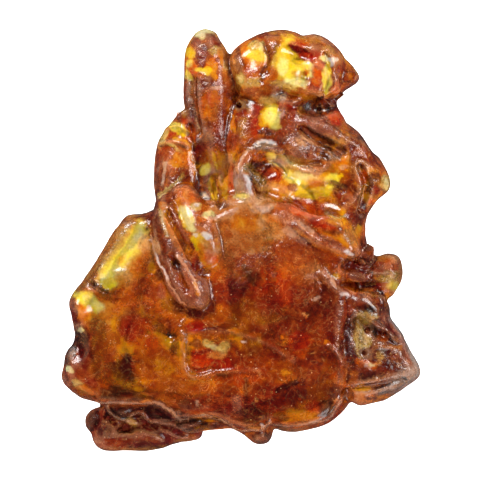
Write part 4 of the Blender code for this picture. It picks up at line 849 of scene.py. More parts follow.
LEFT_FACE_TINTS = (
    Patch(Tone.COPPER, -24, -8, 10, 13, -30),
    Patch(Tone.TAN, -22.3, 4.3, 5, 1.7, 14, 0.8),
    Patch(Tone.UMBER, -23.4, 3.4, 2.6, 0.9, 20, 0.6),
    Patch(Tone.PLUM, -18, 4.6, 3.4, 2.6),
    Patch(Tone.BARK, -17.6, 4.9, 1.9, 1.9, 0, 0.7),
    # Painted sheen
    Patch(Tone.SILVER, -23.3, 2.9, 1.7, 0.8, -20, 0.5),
    Streak(Tone.TAN, ((-24.7, 2.5), (-26.7, -0.9), (-28.7, -4.3), (-30.7, -7.3), (-32.7, -9.9)), 1.7, 0.9),
    Streak(Tone.SAND, ((-23.1, 1.9), (-24.7, -0.9), (-26.1, -3.3), (-27.7, -5.9)), 1.2, 0.7, 1.1),
    Streak(Tone.HONEY, ((-19.9, 1.6), (-21.1, -0.7), (-22.9, -3.1), (-24.5, -5.3), (-26.3, -8.1)), 3.2, 0.7,
                        1.1),
    Streak(Tone.LEMON, ((-20.1, 1.9), (-21.5, -0.7), (-23.3, -3.3), (-24.9, -5.3), (-26.7, -7.9)), 2.7, 1,
                        0.9),
    Streak(Tone.CREAM, ((-20.1, 1.7), (-21.1, 0.1), (-22.1, -1.5)), 1.2, 0.4, 1.1),
    Patch(Tone.HONEY, -23.8, -3.8, 1.7, 0.8, 50, 0.55, 0.9),
    Patch(Tone.CREAM, -27.9, -7.2, 1, 0.9, 0, 0.6, 0.9),
    Patch(Tone.YOLK, -26.3, -8.5, 1.7, 1.5),
    Patch(Tone.PEACH, -19.4, -0.6, 1.4, 2.2, 0, 0.8),
    Patch(Tone.CLAY, -18.6, -3.2, 1.8, 2.4, 0, 0.8),
    Patch(Tone.COPPER, -20.8, -5.2, 2.4, 2.4, 0, 0.6),
    Patch(Tone.TAN, -23.4, -7.4, 3, 2.2, -30, 0.7, 0.8),
    Patch(Tone.HONEY, -24.4, -7.8, 1.8, 1.4, -30, 0.6, 0.8),
    Patch(Tone.BRICK, -19.8, -9.4, 3.4, 2.4, 0, 0.7, 0.8),
    Patch(Tone.GOLD, -17.7, -5.6, 0.9, 1.4, 0, 0.7),
    Patch(Tone.OXBLOOD, -16.3, -7, 1.2, 1.5, 0, 0.8),
    Patch(Tone.RUST, -17.4, -10.6, 2.6, 2, 0, 0.7),
    Patch(Tone.ROSE, -16, -10.2, 0.9, 1.6, 0, 0.4),
    Patch(Tone.UMBER, -23.6, -11.6, 4, 1.3, -20, 0.5, 0.9),
    Streak(Tone.BARK, ((-29.8, -8.6), (-28.4, -9.6), (-26.8, -10.7), (-25.3, -11.8)), 0.95, 0.75, 0.9),
    Patch(Tone.SOOT, -29.9, -8.7, 1, 1, 0, 0.55),
    Patch(Tone.ROSE, -30.1, -8.9, 0.5, 0.5, 0, 0.45),
    Patch(Tone.LEMON, -31.2, -11.6, 2.8, 1.8, -16, 1),
    Patch(Tone.CREAM, -30.9, -11.7, 1.3, 0.8, -20, 0.5),
    Patch(Tone.LEMON, -29.4, -12.9, 2.4, 1.4, -20),
    Patch(Tone.YOLK, -30.2, -13.6, 1.8, 0.8, -20),
    Patch(Tone.HONEY, -31.4, -14.6, 2.4, 1.8),
    Patch(Tone.AMBER, -30.4, -15.8, 2.4, 1.2, 0, 0.6),
    Patch(Tone.RUST, -33.4, -13.9, 0.8, 2.8),
    Patch(Tone.UMBER, -28.9, -17, 2.6, 2, 0, 0.5),
    Patch(Tone.AMBER, -25.7, -16.6, 2.2, 3.6, -12, 0.9, 0.8),
    Patch(Tone.GOLD, -25.3, -16.4, 1.2, 2.6, -12, 0.5, 0.9),
    Patch(Tone.AMBER, -26.4, -19.8, 2.6, 2),
    Patch(Tone.COPPER, -22.6, -12, 5.6, 1.7, -6, 0.6),
    Patch(Tone.GARNET, -21.7, -16.6, 3.6, 4, 0, 0.8),
    Patch(Tone.EMBER, -20.4, -18, 4.4, 3.8, 0, 0.6),
    Patch(Tone.COPPER, -16.8, -14.6, 3.6, 1.9, -20, 0.6),
    Patch(Tone.OXBLOOD, -13.8, -13, 3.2, 1.6, -30, 0.6),
    Patch(Tone.RUST, -15.6, -17.2, 2.6, 2.4, 0, 0.7),
    Streak(Tone.COPPER, ((-18.7, -17.5), (-18, -18.2), (-18.4, -19.2), (-19.3, -19.1), (-19.3, -18)), 0.3,
                         0.8),
    Patch(Tone.EMBER, -18.6, -21.6, 4.4, 2.4, 0, 0.6),
    Patch(Tone.AMBER, -16.2, -24.8, 5, 4.4),
    Patch(Tone.GOLD, -15.6, -25.4, 2.2, 2, 0, 0.25),
    Patch(Tone.AMBER, -13.6, -29.2, 7.4, 2.2, 0, 0.85),
    Patch(Tone.COPPER, -27.5, -23.6, 3, 3, 0, 0.7),
    Patch(Tone.RUST, -26.6, -22.8, 2.2, 1.6, 0, 0.5),
    Patch(Tone.RUST, -22.8, -25.6, 4.6, 5.2, 0, 0.85, 0.9),
    Patch(Tone.GARNET, -23, -25.2, 1.8, 3.4, 12, 0.6, 0.9),
    Patch(Tone.UMBER, -22.2, -24.4, 1.2, 1.8, 12, 0.4, 0.9),
    Patch(Tone.AMBER, -29.4, -24.6, 1.9, 3.6, 0, 0.75, 0.9),
    Patch(Tone.OXBLOOD, -31.9, -19.4, 1.7, 3.4, 0, 0.85),
    Patch(Tone.GARNET, -31.3, -23.6, 1.8, 3, 0, 0.85),
    Patch(Tone.BARK, -33.8, -21.6, 1.3, 2.6, -16, 0.95),
    # Painted sheen on the left edge
    Patch(Tone.SILVER, -33.6, -22.2, 0.7, 1.3, -20, 0.4),
    Patch(Tone.BARK, -34.8, -24, 1, 1.2, 0, 0.8),
    Patch(Tone.CREAM, -32.1, -17.8, 0.8, 0.5, 0, 0.85),
    Patch(Tone.CREAM, -34.2, -25.6, 1.1, 0.7, -36, 0.95, 0.4),
    Patch(Tone.BRICK, -34.6, -27.4, 1.4, 1.3, 0, 0.8),
    Patch(Tone.SAND, -32.6, -28.5, 1.4, 1, -30, 0.95),
    Patch(Tone.HONEY, -31, -29.9, 2.2, 1.3, -24, 0.95),
    Patch(Tone.RUST, -29.8, -28.4, 1.7, 1.1, -20, 0.8),
    Patch(Tone.OXBLOOD, -25.2, -30.4, 3.8, 1.6, 0, 0.85),
    Patch(Tone.GARNET, -20, -30.9, 5, 1.2, 0, 0.8),
    Patch(Tone.SOOT, -14.1, -18.9, 1, 0.5),
    Patch(Tone.BARK, -13.5, -21.2, 1.3, 1.5, 0, 0.7),
    Patch(Tone.COPPER, -12, -26.9, 0.6, 0.5, 0, 0.6),
    # A painted highlight along the slab's lower left edge
    Streak(Tone.ROSE, ((-35.9, -27), (-34.5, -29.5), (-32, -31.1), (-29.3, -32)), 0.4, 0.7),
)

SCAR_TINTS = (
    Patch(Tone.RUST, -6.4, -18, 5.4, 2, 0, 0.8, 0.9),
    Patch(Tone.RUST, -5.4, -22.6, 6, 4.6, 0, 0.7),
    Patch(Tone.EMBER, -7.6, -23.9, 3.6, 3),
    Patch(Tone.TANGERINE, -8, -24.9, 2.2, 1.6, 0, 0.45),
    Patch(Tone.EMBER, -3.4, -24.3, 1.8, 1.7, 0, 0.8),
    Patch(Tone.EMBER, -8.9, -17.2, 2.6, 1.7),
    Patch(Tone.PLUM, -9.1, -20.8, 1.4, 1.3, 0, 0.85),
    Patch(Tone.PLUM, -2, -20.6, 1.8, 1.2, 0, 0.5),
    Patch(Tone.SAND, -6.5, -20.6, 1.6, 1, -12, 0.95),
    Patch(Tone.SAND, -3.6, -21.2, 1.6, 1.3, 12),
    Patch(Tone.CREAM, -5.4, -21.1, 2, 0.7, -8, 0.6),
    Patch(Tone.PEACH, -4.8, -22.8, 2.4, 1, 0, 0.85),
    Patch(Tone.OXBLOOD, -3.7, -26.9, 2, 0.45, 0, 0.7),
    Patch(Tone.TAN, -11.8, -19.2, 0.9, 0.9, 0, 0.8),
    Streak(Tone.TAN, ((-12.2, -17.2), (-11.6, -16.2), (-11, -15.4)), 0.35, 0.7),
    Streak(Tone.TAN, ((-11.3, -18.9), (-10.9, -20.9), (-11.1, -23.5), (-11.1, -25.3), (-10.3, -26.7),
                      (-9.1, -27.1), (-7.3, -26.7), (-5.3, -26.1), (-2.7, -26.1)), 0.35, 0.55),
    Streak(Tone.ROSE, ((-3.4, -26), (0.4, -26.2), (2.6, -26.6)), 0.3, 0.3),
    # A painted glint
    Patch(Tone.PEACH, 3.5, -26.6, 0.8, 0.4, 20, 0.8),
)

LOWER_FACE_TINTS = (
    Patch(Tone.RUST, -4, -32.5, 9, 3.2, 0, 0.8),
    Patch(Tone.AMBER, -10, -29.4, 6, 1.9, 0, 0.6),
    Patch(Tone.GARNET, -10.4, -32.6, 2.6, 1.3, 0, 0.6),
    Patch(Tone.PLUM, -2.4, -30.2, 2.6, 1.9, 0, 0.7),
    Patch(Tone.ROSE, -1, -32.8, 1.2, 2.4, 0, 0.6),
    Patch(Tone.GARNET, 4.1, -30.7, 3.8, 2.8, 0, 0.85),
    Patch(Tone.GARNET, 9.8, -30.4, 4, 2.4, 0, 0.7, 0.9),
    Patch(Tone.UMBER, 1.9, -34.6, 3.8, 2.4, 0, 0.85),
    Patch(Tone.GARNET, 4.6, -36.2, 1.4, 1.2, 0, 0.6),
    Streak(Tone.OXBLOOD, ((0.9, -27.6), (0.9, -31), (0.9, -34.6)), 0.7, 0.7),
    Patch(Tone.RUST, 8, -33.2, 3.4, 1.6, 0, 0.7),
    Patch(Tone.GOLD, 11.2, -34.9, 5, 1.5, 0, 0.55),
    Patch(Tone.AMBER, 11.2, -34.9, 5.4, 1.8, 0, 0.6),
    Patch(Tone.EMBER, 14.6, -33.2, 2.6, 1.5, 0, 0.7),
    Patch(Tone.OXBLOOD, 16.9, -33.4, 2, 2.2, -30, 0.85),
    Patch(Tone.AMBER, 15.6, -30.2, 3.2, 1.9, 0, 0.85),
    Patch(Tone.GARNET, 19, -30.4, 1.7, 2, -40, 0.7),
    # Two painted glints
    Patch(Tone.PEACH, 2.9, -31.7, 0.4, 0.6, 10, 0.7),
    Patch(Tone.BLUSH, -8.9, -32.4, 0.5, 0.7, 0, 0.8),
    # Painted highlights along the edges of the face rim, the drip's lip and the fringe's lip
    Streak(Tone.BLUSH, ((-29.3, -32.3), (-26.3, -32.3), (-22.3, -32.3), (-18.3, -32.5), (-16.3, -32.7),
                        (-14.3, -33.7), (-13.5, -34.7), (-12.5, -35.7), (-11.3, -35.9), (-8.9, -35.3),
                        (-7.3, -34.9), (-4.3, -35.9), (-2.7, -36.3)), 0.3, 0.8),
    Streak(Tone.BLUSH, ((-2.1, -36.7), (-0.3, -37.9), (2.1, -37.9), (4.1, -37.9), (5.3, -36.9),
                        (5.9, -36.3)), 0.28, 0.7),
    Streak(Tone.BLUSH, ((6.7, -36.7), (9.7, -36.9), (12.7, -36.7), (15.3, -36.1), (17.7, -35.3),
                        (18.9, -33.5), (19.9, -31.9), (20.9, -30.7)), 0.28, 0.7),
    Patch(Tone.AMBER, 10.3, -37.8, 2.8, 0.6, 0, 0.8),
    Patch(Tone.TAN, 9.6, -38, 4.6, 0.5, 0, 0.6),
    Patch(Tone.UMBER, 4.1, -39.4, 2.6, 1.6),
    Patch(Tone.BRICK, 4, -39.8, 1.3, 0.8, 0, 0.6),
    Patch(Tone.UMBER, -5.3, -36.9, 3.8, 0.9),
    Patch(Tone.BRICK, -4.6, -37.2, 2.6, 0.6, 0, 0.6),
)

LUG_TINTS = (
    Patch(Tone.BRICK, 27, -6.6, 7, 5, 0, 1),
    Patch(Tone.PLUM, 28, -4.6, 4.6, 1.9, 0, 0.7, 0.9),
    Patch(Tone.GARNET, 22, -4.9, 3.4, 2, -12, 0.95, 0.8),
    Patch(Tone.GARNET, 23.6, -6.8, 2.2, 1.3, 0, 0.8),
    Patch(Tone.PLUM, 25.7, -4.3, 3.8, 1.1, -22),
    Patch(Tone.ROSE, 24.6, -2.8, 2.2, 0.6, -30, 0.6),
    Patch(Tone.TAN, 29.3, -3.5, 3.6, 0.9, 0, 0.85),
    Patch(Tone.COPPER, 29.9, -4.6, 2, 1.3, 0, 0.7),
    Patch(Tone.KHAKI, 30, -6.9, 2.6, 1.4, 0, 0.75),
    Patch(Tone.KHAKI, 28.6, -7.8, 2.2, 0.9, 0, 0.8),
    Patch(Tone.LEMON, 30.4, -9, 1.8, 1.5, 0, 0.7, 0.9),
    Patch(Tone.TAN, 32, -6.6, 0.8, 3, 0, 0.7),
    Streak(Tone.BLUSH, ((25.4, -6), (27.7, -6.5), (30.2, -6.4)), 0.3, 0.7),
    Patch(Tone.SOOT, 26.9, -6.9, 0.8, 0.4),
    Patch(Tone.UMBER, 28.6, -6.9, 0.9, 0.3, 0, 0.7),
    Patch(Tone.GARNET, 24.8, -8.9, 3.6, 1.4, -4, 1),
    Patch(Tone.OXBLOOD, 25.4, -8.7, 2, 0.5, -4, 0.6),
    Patch(Tone.RUST, 27.4, -9.3, 1.7, 0.7),
    Patch(Tone.TAN, 25.7, -10.7, 2.8, 0.6, -8, 0.7),
    Patch(Tone.OXBLOOD, 27.9, -10.6, 0.7, 1.2),
    Patch(Tone.PLUM, 20, -8.8, 1.6, 2, 0, 0.6),
    Patch(Tone.GOLD, 18.9, -7.1, 0.9, 0.8, 0, 0.45),
)

BLOCK_TINTS = (
    Patch(Tone.UMBER, 28, -21.5, 9.5, 11, 0, 1),
    Patch(Tone.PLUM, 28, -22.5, 8, 9, 0, 0.5),
    Patch(Tone.OXBLOOD, 30.2, -16.6, 2.4, 3.4, 24, 0.6),
    Patch(Tone.GARNET, 24.7, -12.5, 4, 1.8, 0, 0.85),
    Patch(Tone.OXBLOOD, 24.9, -13.6, 2.6, 0.8, 0, 0.7),
    Patch(Tone.BARK, 28.9, -13.4, 1, 2.4, 10, 0.7),
    Patch(Tone.KHAKI, 24.6, -15.5, 2.6, 1.6, 12, 1),
    Patch(Tone.KHAKI, 23.4, -17.9, 1.2, 3.6, 0, 1),
    Patch(Tone.KHAKI, 24.8, -20.4, 1.7, 1.5, 0, 1),
    Patch(Tone.KHAKI, 23.7, -21.2, 1.1, 3.2, 0, 0.95),
    Patch(Tone.SAND, 24.6, -19.9, 0.9, 1.3, 0, 0.55),
    Patch(Tone.SAND, 26.2, -14.9, 1.2, 0.7, 0, 0.5),
    Patch(Tone.BARK, 22.4, -16.3, 0.9, 3.2, 0, 0.8),
    Patch(Tone.GARNET, 28.8, -17.9, 3, 1.9, -30, 0.95),
    Patch(Tone.OXBLOOD, 30.4, -19.2, 1, 0.7, -30, 0.7),
    Patch(Tone.AMBER, 28.2, -19.6, 1.6, 0.8, 0, 0.7),
    Streak(Tone.TAN, ((27, -21.3), (29.3, -21.3), (32, -21.3)), 0.5, 0.8),
    # Painted sheen
    Patch(Tone.SILVER, 28.1, -21.9, 0.7, 0.6),
    Patch(Tone.SAND, 27.6, -23.2, 1.1, 1.1, 0, 0.5),
    Patch(Tone.ROSE, 32, -25, 2.6, 2.6, 0, 0.3),
    Streak(Tone.COPPER, ((23.1, -24.1), (24.9, -24.5), (26.5, -25.1)), 0.9, 0.95),
    Patch(Tone.BLUSH, 25.4, -24.7, 1.4, 0.5, -14, 0.8),
    Patch(Tone.CREAM, 25.9, -24.8, 0.8, 0.35, -14, 0.7),
    Patch(Tone.TAN, 27.2, -24.6, 0.8, 1, -30, 0.6),
    Patch(Tone.OXBLOOD, 25.6, -27.2, 3.4, 1.2, 8, 0.85),
    Patch(Tone.PLUM, 31, -26.2, 2.6, 1.6, 20, 0.6),
    # Painted reflections on the block's lower right face
    Patch(Tone.SILVER, 32.4, -27.8, 4.8, 2.6, 28, 0.8, 0.9),
    Patch(Tone.SLATE, 29.4, -29.4, 3.4, 1.6, 24, 0.6, 0.9),
    Patch(Tone.BARK, 28.4, -30.2, 1.6, 0.8, 26, 0.5),
    # A painted reflection along the block's right edge
    Streak(Tone.SILVER, ((30.2, -15.6), (32.4, -19.4), (34.2, -22.9), (35.6, -26.2)), 1.1, 0.8, 0.9),
    Streak(Tone.ROSE, ((29.8, -16.2), (31.6, -19.2), (33.4, -23)), 0.5, 0.5),
    Patch(Tone.GOLD, 24.2, -29.6, 2.2, 0.7, 4, 0.8),
    Patch(Tone.OXBLOOD, 27.2, -29.4, 1.2, 0.4, 10, 0.8),
    Patch(Tone.HONEY, 24.9, -31.7, 2.6, 0.6),
    Patch(Tone.GARNET, 26, -31.4, 1.6, 0.35, -6),
    # Painted highlights along the block's lower ridges
    Streak(Tone.BLUSH, ((22.5, -28.9), (24.7, -28.5), (27.4, -27.9)), 0.35, 0.7),
    Streak(Tone.BLUSH, ((21.8, -30.6), (24, -30.6), (27, -30.2)), 0.3, 0.6),
    # Painted shade inside the boreholes
    Patch(Tone.SOOT, 25.6, -17.9, 1.5, 1.5, 0, 1, 0.4),
    Patch(Tone.SOOT, 26.6, -19.2, 0.8, 0.9, 0, 0.9, 0.4),
    Patch(Tone.SOOT, 24.8, -22.4, 1.5, 1.3, 0, 1, 0.4),
)

FOOT_TINTS = (
    Patch(Tone.GARNET, -19.5, -37.6, 13.5, 6, 0, 1),
    Patch(Tone.OXBLOOD, -20.5, -37, 10.5, 3, 0, 0.7),
    Patch(Tone.UMBER, -23.9, -34.3, 2.9, 1.2, -8),
    Patch(Tone.AMBER, -23.7, -34.5, 1.6, 0.8, 0, 0.5),
    Patch(Tone.SAND, -22.1, -36.4, 1.5, 0.8, -30, 0.8),
    # Painted shade in the foot's hollow
    Patch(Tone.SOOT, -23.6, -38.2, 2.6, 1, 6, 0.45),
    Patch(Tone.BARK, -27.6, -38.4, 1.8, 1.5, 0, 0.7),
    Patch(Tone.BRICK, -24.9, -40.7, 4.6, 1.1, 0, 0.6),
    Patch(Tone.UMBER, -18.9, -40.2, 5.4, 1.9),
    Patch(Tone.BRICK, -18.4, -39.6, 3.2, 0.9, -14, 0.6),
    Patch(Tone.BRICK, -21.7, -39.4, 2.4, 0.8, 10, 0.5),
    Patch(Tone.TAN, -22.3, -41.9, 7, 0.5, 0, 0.4),
    # Painted shadow under the face's rim
    Patch(Tone.SOOT, -17, -33.7, 4, 0.9, -4, 0.5),
    Patch(Tone.GARNET, -18.6, -35.5, 3.4, 0.8, -16, 0.6),
    # Painted shade in the foot's slit
    Patch(Tone.SOOT, -10.6, -36.2, 3.4, 0.6, 6, 0.85),
    Patch(Tone.RUST, -8.4, -38.5, 1.5, 1.2, 0, 0.8),
    Patch(Tone.TAN, -10.3, -40.2, 3.4, 0.5, 0, 0.6),
    # Painted highlights along the foot's lips
    Streak(Tone.BLUSH, ((-26.9, -33.2), (-26.3, -34.3), (-25.1, -35.5), (-23.9, -36.1), (-22.7, -36.3)),
                        0.28, 0.7),
    Streak(Tone.ROSE, ((-22.1, -35.1), (-20.9, -34.5), (-19.7, -34.7), (-18.9, -35.7), (-17.9, -36.5),
                       (-14.3, -36.8)), 0.26, 0.75),
    Streak(Tone.ROSE, ((-14.3, -36.7), (-13.5, -37.3), (-12.3, -37.5), (-10.3, -36.9), (-8.5, -36.5)), 0.28,
                       0.75),
    Streak(Tone.ROSE, ((-25.9, -38.4), (-25.1, -37.4), (-23.9, -36.7)), 0.3, 0.5),
    Streak(Tone.ROSE, ((-16.3, -37.9), (-14.3, -38.7), (-12.3, -39.5), (-10.7, -39.5)), 0.35, 0.8),
    Streak(Tone.ROSE, ((-21.3, -38.5), (-19.3, -38.7), (-17.3, -39.5), (-15.7, -40.3)), 0.3, 0.5),
)

VEIL_TINTS = (
    Patch(Tone.EMBER, 6.2, 12.9, 2.8, 1.3, -20, 0.8, 0.7),
    Patch(Tone.LEMON, 7.2, 15.9, 2.1, 1.1, -24, 0.9, 0.6),
    Patch(Tone.SAND, 9.7, 15.4, 1.8, 1, -24, 0.9, 0.6),
    # A painted highlight at the end of the pocket's rim
    Patch(Tone.BLUSH, 4.5, 6.2, 1.6, 1.2, 0, 0.8, 0.8),
    Patch(Tone.PEACH, 4.4, 3.5, 2.2, 1.6, 0, 0.7, 0.9),
    Patch(Tone.HONEY, -0.4, 3.6, 2.2, 1.6, 0, 0.7, 0.9),
    Patch(Tone.SAND, 4.5, 27.6, 1.6, 1.4, 0, 0.6, 0.9),
    Patch(Tone.CLAY, -5.3, 25.5, 1.6, 2.2, 0, 0.6, 0.9),
    Patch(Tone.RUST, -0.3, 25.3, 1.2, 1.9, 0, 0.7, 0.8),
    Patch(Tone.COPPER, 6.9, 39.9, 2, 1, 0, 0.6, 0.8),
    Patch(Tone.EMBER, 14.1, 37.3, 1.6, 1.1, -20, 0.7, 0.7),
    # Painted sheen
    Patch(Tone.SILVER, 28.6, -29.9, 2.2, 0.8, 20, 0.6, 0.8),
    Patch(Tone.UMBER, 31, -24.6, 2.2, 1.3, 20, 0.4, 0.9),
    Patch(Tone.PEACH, -17.1, -1.2, 0.8, 2, 14, 0.8, 0.7),
    Patch(Tone.CLAY, -12, 18.6, 1, 2.4, 0, 0.6, 0.8),
    Patch(Tone.RUST, -10.6, 13.2, 2, 2, 0, 0.5, 0.9),
    Patch(Tone.COPPER, -10.8, 11.4, 2, 1.2, 0, 0.6, 0.9),
    # Painted sheen on the pocket's upper rim, with a painted highlight along its top
    Patch(Tone.SLATE, 4.5, 18.6, 2.5, 0.9, -8, 0.85),
    Streak(Tone.BLOOM, ((3.2, 19.3), (4.9, 19.7), (6.9, 19.3)), 0.22, 0.8),
    Patch(Tone.PLUM, 11.6, 19.5, 4.4, 2.6, -20, 0.6, 0.9),
    Patch(Tone.ROSE, 11.5, 19.9, 3.4, 1.9, -20, 0.8, 0.9),
    Patch(Tone.ROSE, 7.6, 18, 2.6, 0.8, -10, 0.8, 0.8),
    Patch(Tone.BLUSH, 12.2, 19.9, 2, 1.1, -20, 0.7, 0.9),
    Patch(Tone.PLUM, 22.6, 14.6, 2, 4.2, 12, 0.85, 0.9),
    Patch(Tone.PLUM, 15.8, 23.4, 3.6, 1, -28, 0.6, 0.9),
    Patch(Tone.TANGERINE, 12.2, 6.6, 2.4, 1.3, -18, 0.85),
    Patch(Tone.TANGERINE, 15.2, 5.2, 2.8, 1.3, -24, 0.85),
    Patch(Tone.EMBER, 16.6, 3.3, 2.6, 0.9, -24, 0.8),
    Patch(Tone.PLUM, 10.8, -0.8, 5, 2.2, -20, 0.5, 0.9),
    Patch(Tone.CLAY, -2.7, -3, 2.2, 1.8, 0, 0.6, 0.9),
    Patch(Tone.LEMON, 7, 16, 2.1, 1.4, -20, 1),
    Patch(Tone.SAND, 9.4, 15.4, 1.6, 1.1, -20, 0.8),
    Patch(Tone.PEACH, -0.3, 11, 1.6, 2, 0, 0.75, 0.9),
    Patch(Tone.PEACH, 4.6, 10.6, 1.5, 1.2, 0, 0.6, 0.9),
    Patch(Tone.LEMON, 6.6, 23.6, 1.5, 1.7, 0, 0.8),
    Patch(Tone.SAND, 5.8, 28, 2.4, 1, 0, 0.6, 0.9),
    Patch(Tone.CLAY, -2.8, 15.6, 1.3, 2.4, 0, 0.75, 0.9),
    Patch(Tone.CLAY, -7.4, 20.6, 2, 1.6, 0, 0.6, 0.9),
    Patch(Tone.CLAY, -9.9, 30, 0.9, 2.2, 0, 0.6, 0.9),
    Patch(Tone.PEACH, 6.9, 1.6, 2.4, 1.6, 0, 0.5, 0.9),
    Patch(Tone.CLAY, 9, 18.2, 1.8, 1, -20, 0.7, 0.9),
    # Painted reflections on the block's lower right face
    Patch(Tone.SLATE, 33.2, -26.9, 3.8, 2, 28, 0.7, 0.9),
    Patch(Tone.SILVER, 34.2, -26.6, 2.6, 1.5, 28, 0.6, 0.9),
    Patch(Tone.RUST, 4.9, 13.1, 1.5, 1.1, -20, 0.8, 0.8),
    Patch(Tone.TANGERINE, 7.4, 14, 1.7, 1, -24, 0.8, 0.8),
    Patch(Tone.ROSE, 13.4, 18.7, 3, 1.9, -20, 0.55, 0.9),
    Patch(Tone.TANGERINE, 18.9, 24.4, 1.8, 1.8, -30, 0.7, 0.8),
    Patch(Tone.ROSE, 28.5, -15.5, 1.3, 1.9, 0, 0.5, 0.9),
    Patch(Tone.AMBER, -29.1, -20.3, 1.9, 1.7, 0, 0.8, 0.9),
    Patch(Tone.HONEY, -5.1, -1.2, 1.3, 1.5, 0, 0.8, 0.8),
    Patch(Tone.PLUM, 2.1, 18.2, 1.5, 0.9, 20, 0.6, 0.9),
    Patch(Tone.HONEY, -26.9, -8.2, 1.5, 1, 30, 0.5, 0.9),
)

# Ovals painted darker where the resin is deeper, and lighter where painted light lifts the shade of hollows
# and steep slopes
DEPTHS_AND_PAINTED_LIGHT = (
    DepthAndPaintedLight((-10.5, -16), (8, 5), 0.6, -15),
    DepthAndPaintedLight((-6.5, -17.6), (6, 3.5), 0.35),
    DepthAndPaintedLight((0, -25.5), (12, 6), 0.65),
    DepthAndPaintedLight((5, -15.5), (5, 5.5), -0.25),
    DepthAndPaintedLight((18.5, -24), (3, 9), 0.35),
    DepthAndPaintedLight((-19.5, -26.5), (5, 4), 0.45),
    DepthAndPaintedLight((12, -22), (4, 5), 0.5),
    DepthAndPaintedLight((0, -1), (13, 8), -0.2),
    DepthAndPaintedLight((2.5, 9), (6, 4), -0.35),
    DepthAndPaintedLight((7.2, 15.8), (3.6, 2.6), -0.5),
    DepthAndPaintedLight((7.5, 24), (5.5, 5), -0.35),
    DepthAndPaintedLight((-4.5, 13), (5, 8), -0.5),
    DepthAndPaintedLight((0, 12), (3, 5), -0.35),
    DepthAndPaintedLight((-7.5, 21), (3.5, 4), -0.3),
    DepthAndPaintedLight((-2.7, 34), (2.4, 4.5), -0.35),
    DepthAndPaintedLight((-9.8, 30), (2.4, 4), -0.4),
    DepthAndPaintedLight((-18, -1), (4, 7), -0.4, 30),
    DepthAndPaintedLight((-23.5, -7), (6, 4), -0.4),
    DepthAndPaintedLight((-28.5, -15), (4, 7), -0.45),
    DepthAndPaintedLight((-30, -25), (3, 5), -0.2),
    DepthAndPaintedLight((14, -6), (6, 6), -0.2),
    DepthAndPaintedLight((20.5, 12), (3.5, 6), 0.6),
    DepthAndPaintedLight((7.8, 15.6), (3.2, 1.6), -0.5, -24),
    DepthAndPaintedLight((4.5, 6.1), (1.8, 1.5), -0.4),
    DepthAndPaintedLight((-2.7, 15.7), (1.6, 2.2), -0.35),
    DepthAndPaintedLight((-5.1, 27.5), (1.8, 2.2), -0.3),
    DepthAndPaintedLight((-27, -8.2), (1.8, 1.6), -0.35),
    DepthAndPaintedLight((-0.3, 3.8), (2.4, 1.6), -0.25),
    DepthAndPaintedLight((14.1, 37.4), (1.8, 1.3), 0.5),
    DepthAndPaintedLight((31, -24.9), (2.6, 1.6), 0.4),
    DepthAndPaintedLight((21.4, -17.6), (1.4, 2.6), 0.5),
    DepthAndPaintedLight((26.2, -13.2), (2.4, 1.5), 0.6),
    DepthAndPaintedLight((33, -26.8), (3.8, 2), -0.25, 28),
    DepthAndPaintedLight((6.9, 39.7), (2.6, 1.4), 0.35),
    DepthAndPaintedLight((7, 36), (10, 6), 0.45),
    DepthAndPaintedLight((-7.5, 36), (3, 4), 0.5),
    DepthAndPaintedLight((11.5, 30.2), (4, 2), 0.4),
    DepthAndPaintedLight((24.3, -19), (3, 6), -0.45),
    DepthAndPaintedLight((29, -21), (5, 6), 0.25),
    DepthAndPaintedLight((-15, 13), (3.5, 8), -0.4),
)

# The tints are laid on in this order, each over the ones before it
TINTS = (
    *BRIDGE_TINTS, *NECK_TINTS, *CROWN_TINTS, *RIVER_TINTS, *POCKET_TINTS, *UPPER_FACE_TINTS,
    *MIDDLE_FACE_TINTS, *LEFT_FACE_TINTS, *SCAR_TINTS, *LUG_TINTS, *BLOCK_TINTS, *FOOT_TINTS,
    *LOWER_FACE_TINTS, *LEFT_LOBE_TINTS, *SPIKE_TINTS, *FINGER_TINTS, *VEIL_TINTS,
)


